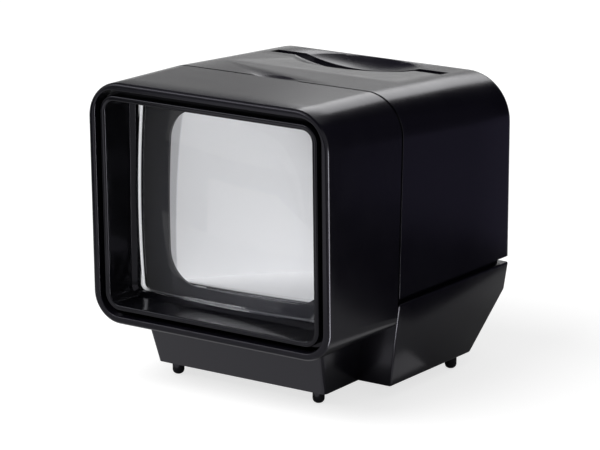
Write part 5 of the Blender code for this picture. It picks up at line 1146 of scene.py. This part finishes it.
bmesh.ops.recalc_face_normals(bm, faces=bm.faces)
bm.faces.ensure_lookup_table()
bm.normal_update()
middle = Vector((0.0, 0.0, up(0.04)))
if sum((face.calc_center_median() - middle).dot(face.normal) * face.calc_area() for face in bm.faces) < 0:
    bmesh.ops.reverse_faces(bm, faces=bm.faces)
housing = make_piece("rear_housing_shell", bm, polystyrene)
wall = housing.modifiers.new("wall", "SOLIDIFY")
wall.thickness = HOUSING_WALL
wall.offset = -1.0
wall.use_even_offset = True
# The roof is thicker under the scoop, and each rear screw has a post with a rib to the wall
pad_rings = []
for y in (SLOT_Y - SCOOP_HALF_WIDTH, BACK - HOUSING_WALL / 2):
    top = up(roof_height(y) - HOUSING_WALL / 2)
    bottom = up(roof_height(y) - SCOOP_DEPTH - SCOOP_FLOOR)
    pad_rings.append([(x * SCOOP_HALF_LENGTH, y, z) for x, z in ((-1, bottom), (1, bottom), (1, top), (-1, top))])
join(housing, loft(pad_rings))
POST_FOOT = 0.0088
POST_TOP = 0.040
POST_RADIUS = 0.0024
POST_HOLE_DEPTH = 0.0065
RIB_FOOT = HOUSING_BOTTOM + 0.0048
RIB_TOP = 0.038
RIB_HALF = 0.001
for x, y in REAR_SCREWS:
    join(housing, round_bar((x, y, up(POST_FOOT)), POST_RADIUS, POST_TOP - POST_FOOT))
    reach = sorted((x, math.copysign(housing_half_width(y) - HOUSING_WALL / 2, x)))
    join(housing, block((reach[0], y - RIB_HALF, up(RIB_FOOT)), (reach[1], y + RIB_HALF, up(RIB_TOP))))
    cut(housing, round_bar((x, y, up(POST_FOOT) - OVERRUN), SHANK_HOLE, POST_HOLE_DEPTH + OVERRUN))
cut(housing, sunk_ellipsoid(SLOT_Y, SCOOP_HALF_LENGTH, SCOOP_HALF_WIDTH, SCOOP_DEPTH, 0.010, 48))
cut(housing, block((-SLOT_HALF_LENGTH, SLOT_Y - SLOT_HALF_WIDTH, up(roof_height(SLOT_Y) - SLOT_DEPTH)),
                   (SLOT_HALF_LENGTH, SLOT_Y + SLOT_HALF_WIDTH, up(SEAM_TOP) + OVERRUN)))
cut(housing, sunk_ellipsoid(seam_y(SEAM_TOP), NOTCH_HALF_LENGTH, NOTCH_HALF_WIDTH, NOTCH_DEPTH, 0.003, 32))
settle(housing)
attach(housing, "viewer")
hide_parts("rear_housing")


# Screws. Four zinc-plated self-tapping screws with a cross recess, two up through the plinth into the hood's
# bosses and two up through the tray into the housing's posts. One Geometry Nodes tree makes and sets all four.
screw_tree, screw_inputs, given = grown_tree(
    "cross_recess_screws", {"Head Radius": 0.0019, "Head Height": 0.0013, "Shank Radius": 0.0011,
                            "Length": 0.0065, "Recess": 0.0022}, Places="Object", Plating="Material")
under_head = add_node(screw_tree, "ShaderNodeMath", {0: given["Head Radius"], 1: 0.72}, operation="MULTIPLY")
head = add_node(screw_tree, "GeometryNodeMeshCone", {"Vertices": 32, "Radius Top": given["Head Radius"],
                                                     "Radius Bottom": under_head, "Depth": given["Head Height"]})
head_drop = add_node(screw_tree, "ShaderNodeMath", {0: given["Head Height"], 1: -1.0}, operation="MULTIPLY")
head_place = add_node(screw_tree, "ShaderNodeCombineXYZ", {"Z": head_drop})
head_set = add_node(screw_tree, "GeometryNodeTransform", {"Geometry": head, "Translation": head_place})
slotted = add_node(screw_tree, "GeometryNodeMeshBoolean", {"Mesh 1": head_set}, operation="DIFFERENCE",
                   solver="EXACT")
wide = given["Recess"]
thin = add_node(screw_tree, "ShaderNodeMath", {0: wide, 1: 0.26}, operation="MULTIPLY")
for along_x_size, along_y_size in ((wide, thin), (thin, wide)):
    size = add_node(screw_tree, "ShaderNodeCombineXYZ", {"X": along_x_size, "Y": along_y_size,
                                                         "Z": given["Head Height"]})
    bar = add_node(screw_tree, "GeometryNodeMeshCube", {"Size": size})
    bar_set = add_node(screw_tree, "GeometryNodeTransform", {"Geometry": bar, "Translation": head_place})
    screw_tree.links.new(bar_set.outputs[0], slotted.inputs["Mesh 2"])
shank = add_node(screw_tree, "GeometryNodeMeshCylinder", {"Vertices": 24, "Radius": given["Shank Radius"],
                                                          "Depth": given["Length"]})
half_length = add_node(screw_tree, "ShaderNodeMath", {0: given["Length"], 1: 0.5}, operation="MULTIPLY")
shank_place = add_node(screw_tree, "ShaderNodeCombineXYZ", {"Z": half_length})
shank_set = add_node(screw_tree, "GeometryNodeTransform", {"Geometry": shank, "Translation": shank_place})
whole = add_node(screw_tree, "GeometryNodeMeshBoolean", operation="UNION", solver="EXACT")
for solid in (slotted, shank_set):
    screw_tree.links.new(solid.outputs[0], whole.inputs["Mesh 2"])
where = add_node(screw_tree, "GeometryNodeObjectInfo", {"Object": given["Places"]})
copies = add_node(screw_tree, "GeometryNodeInstanceOnPoints", {"Points": where.outputs["Geometry"],
                                                               "Instance": whole})
real = add_node(screw_tree, "GeometryNodeRealizeInstances", {"Geometry": copies})
plated = add_node(screw_tree, "GeometryNodeSetMaterial", {"Geometry": real, "Material": given["Plating"]})
add_node(screw_tree, "NodeGroupOutput", {"Geometry": plated})

zinc = coated_metal("bright_zinc_plate", ("A4A8AE", "BABEC3"), 0.3, 0.0007)
seats = bpy.data.meshes.new("screw_seats")
seats.from_pydata([(x, y, up(roof - WELL_ROOF) - GAP)
                   for places, roof in ((HOOD_SCREWS, HOOD_SCREW_ROOF), (REAR_SCREWS, REAR_SCREW_ROOF))
                   for x, y in places], [], [])
seats_object = add_object("screw_seats", seats)
screws = grow("cross_recess_screws", screw_tree, screw_inputs, {"Places": seats_object, "Plating": zinc},
              Matrix())
bpy.data.objects.remove(seats_object, do_unlink=True)
settle(screws)
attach(screws, "viewer")
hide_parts("hood_screw_left", "hood_screw_right", "housing_screw_left", "housing_screw_right")
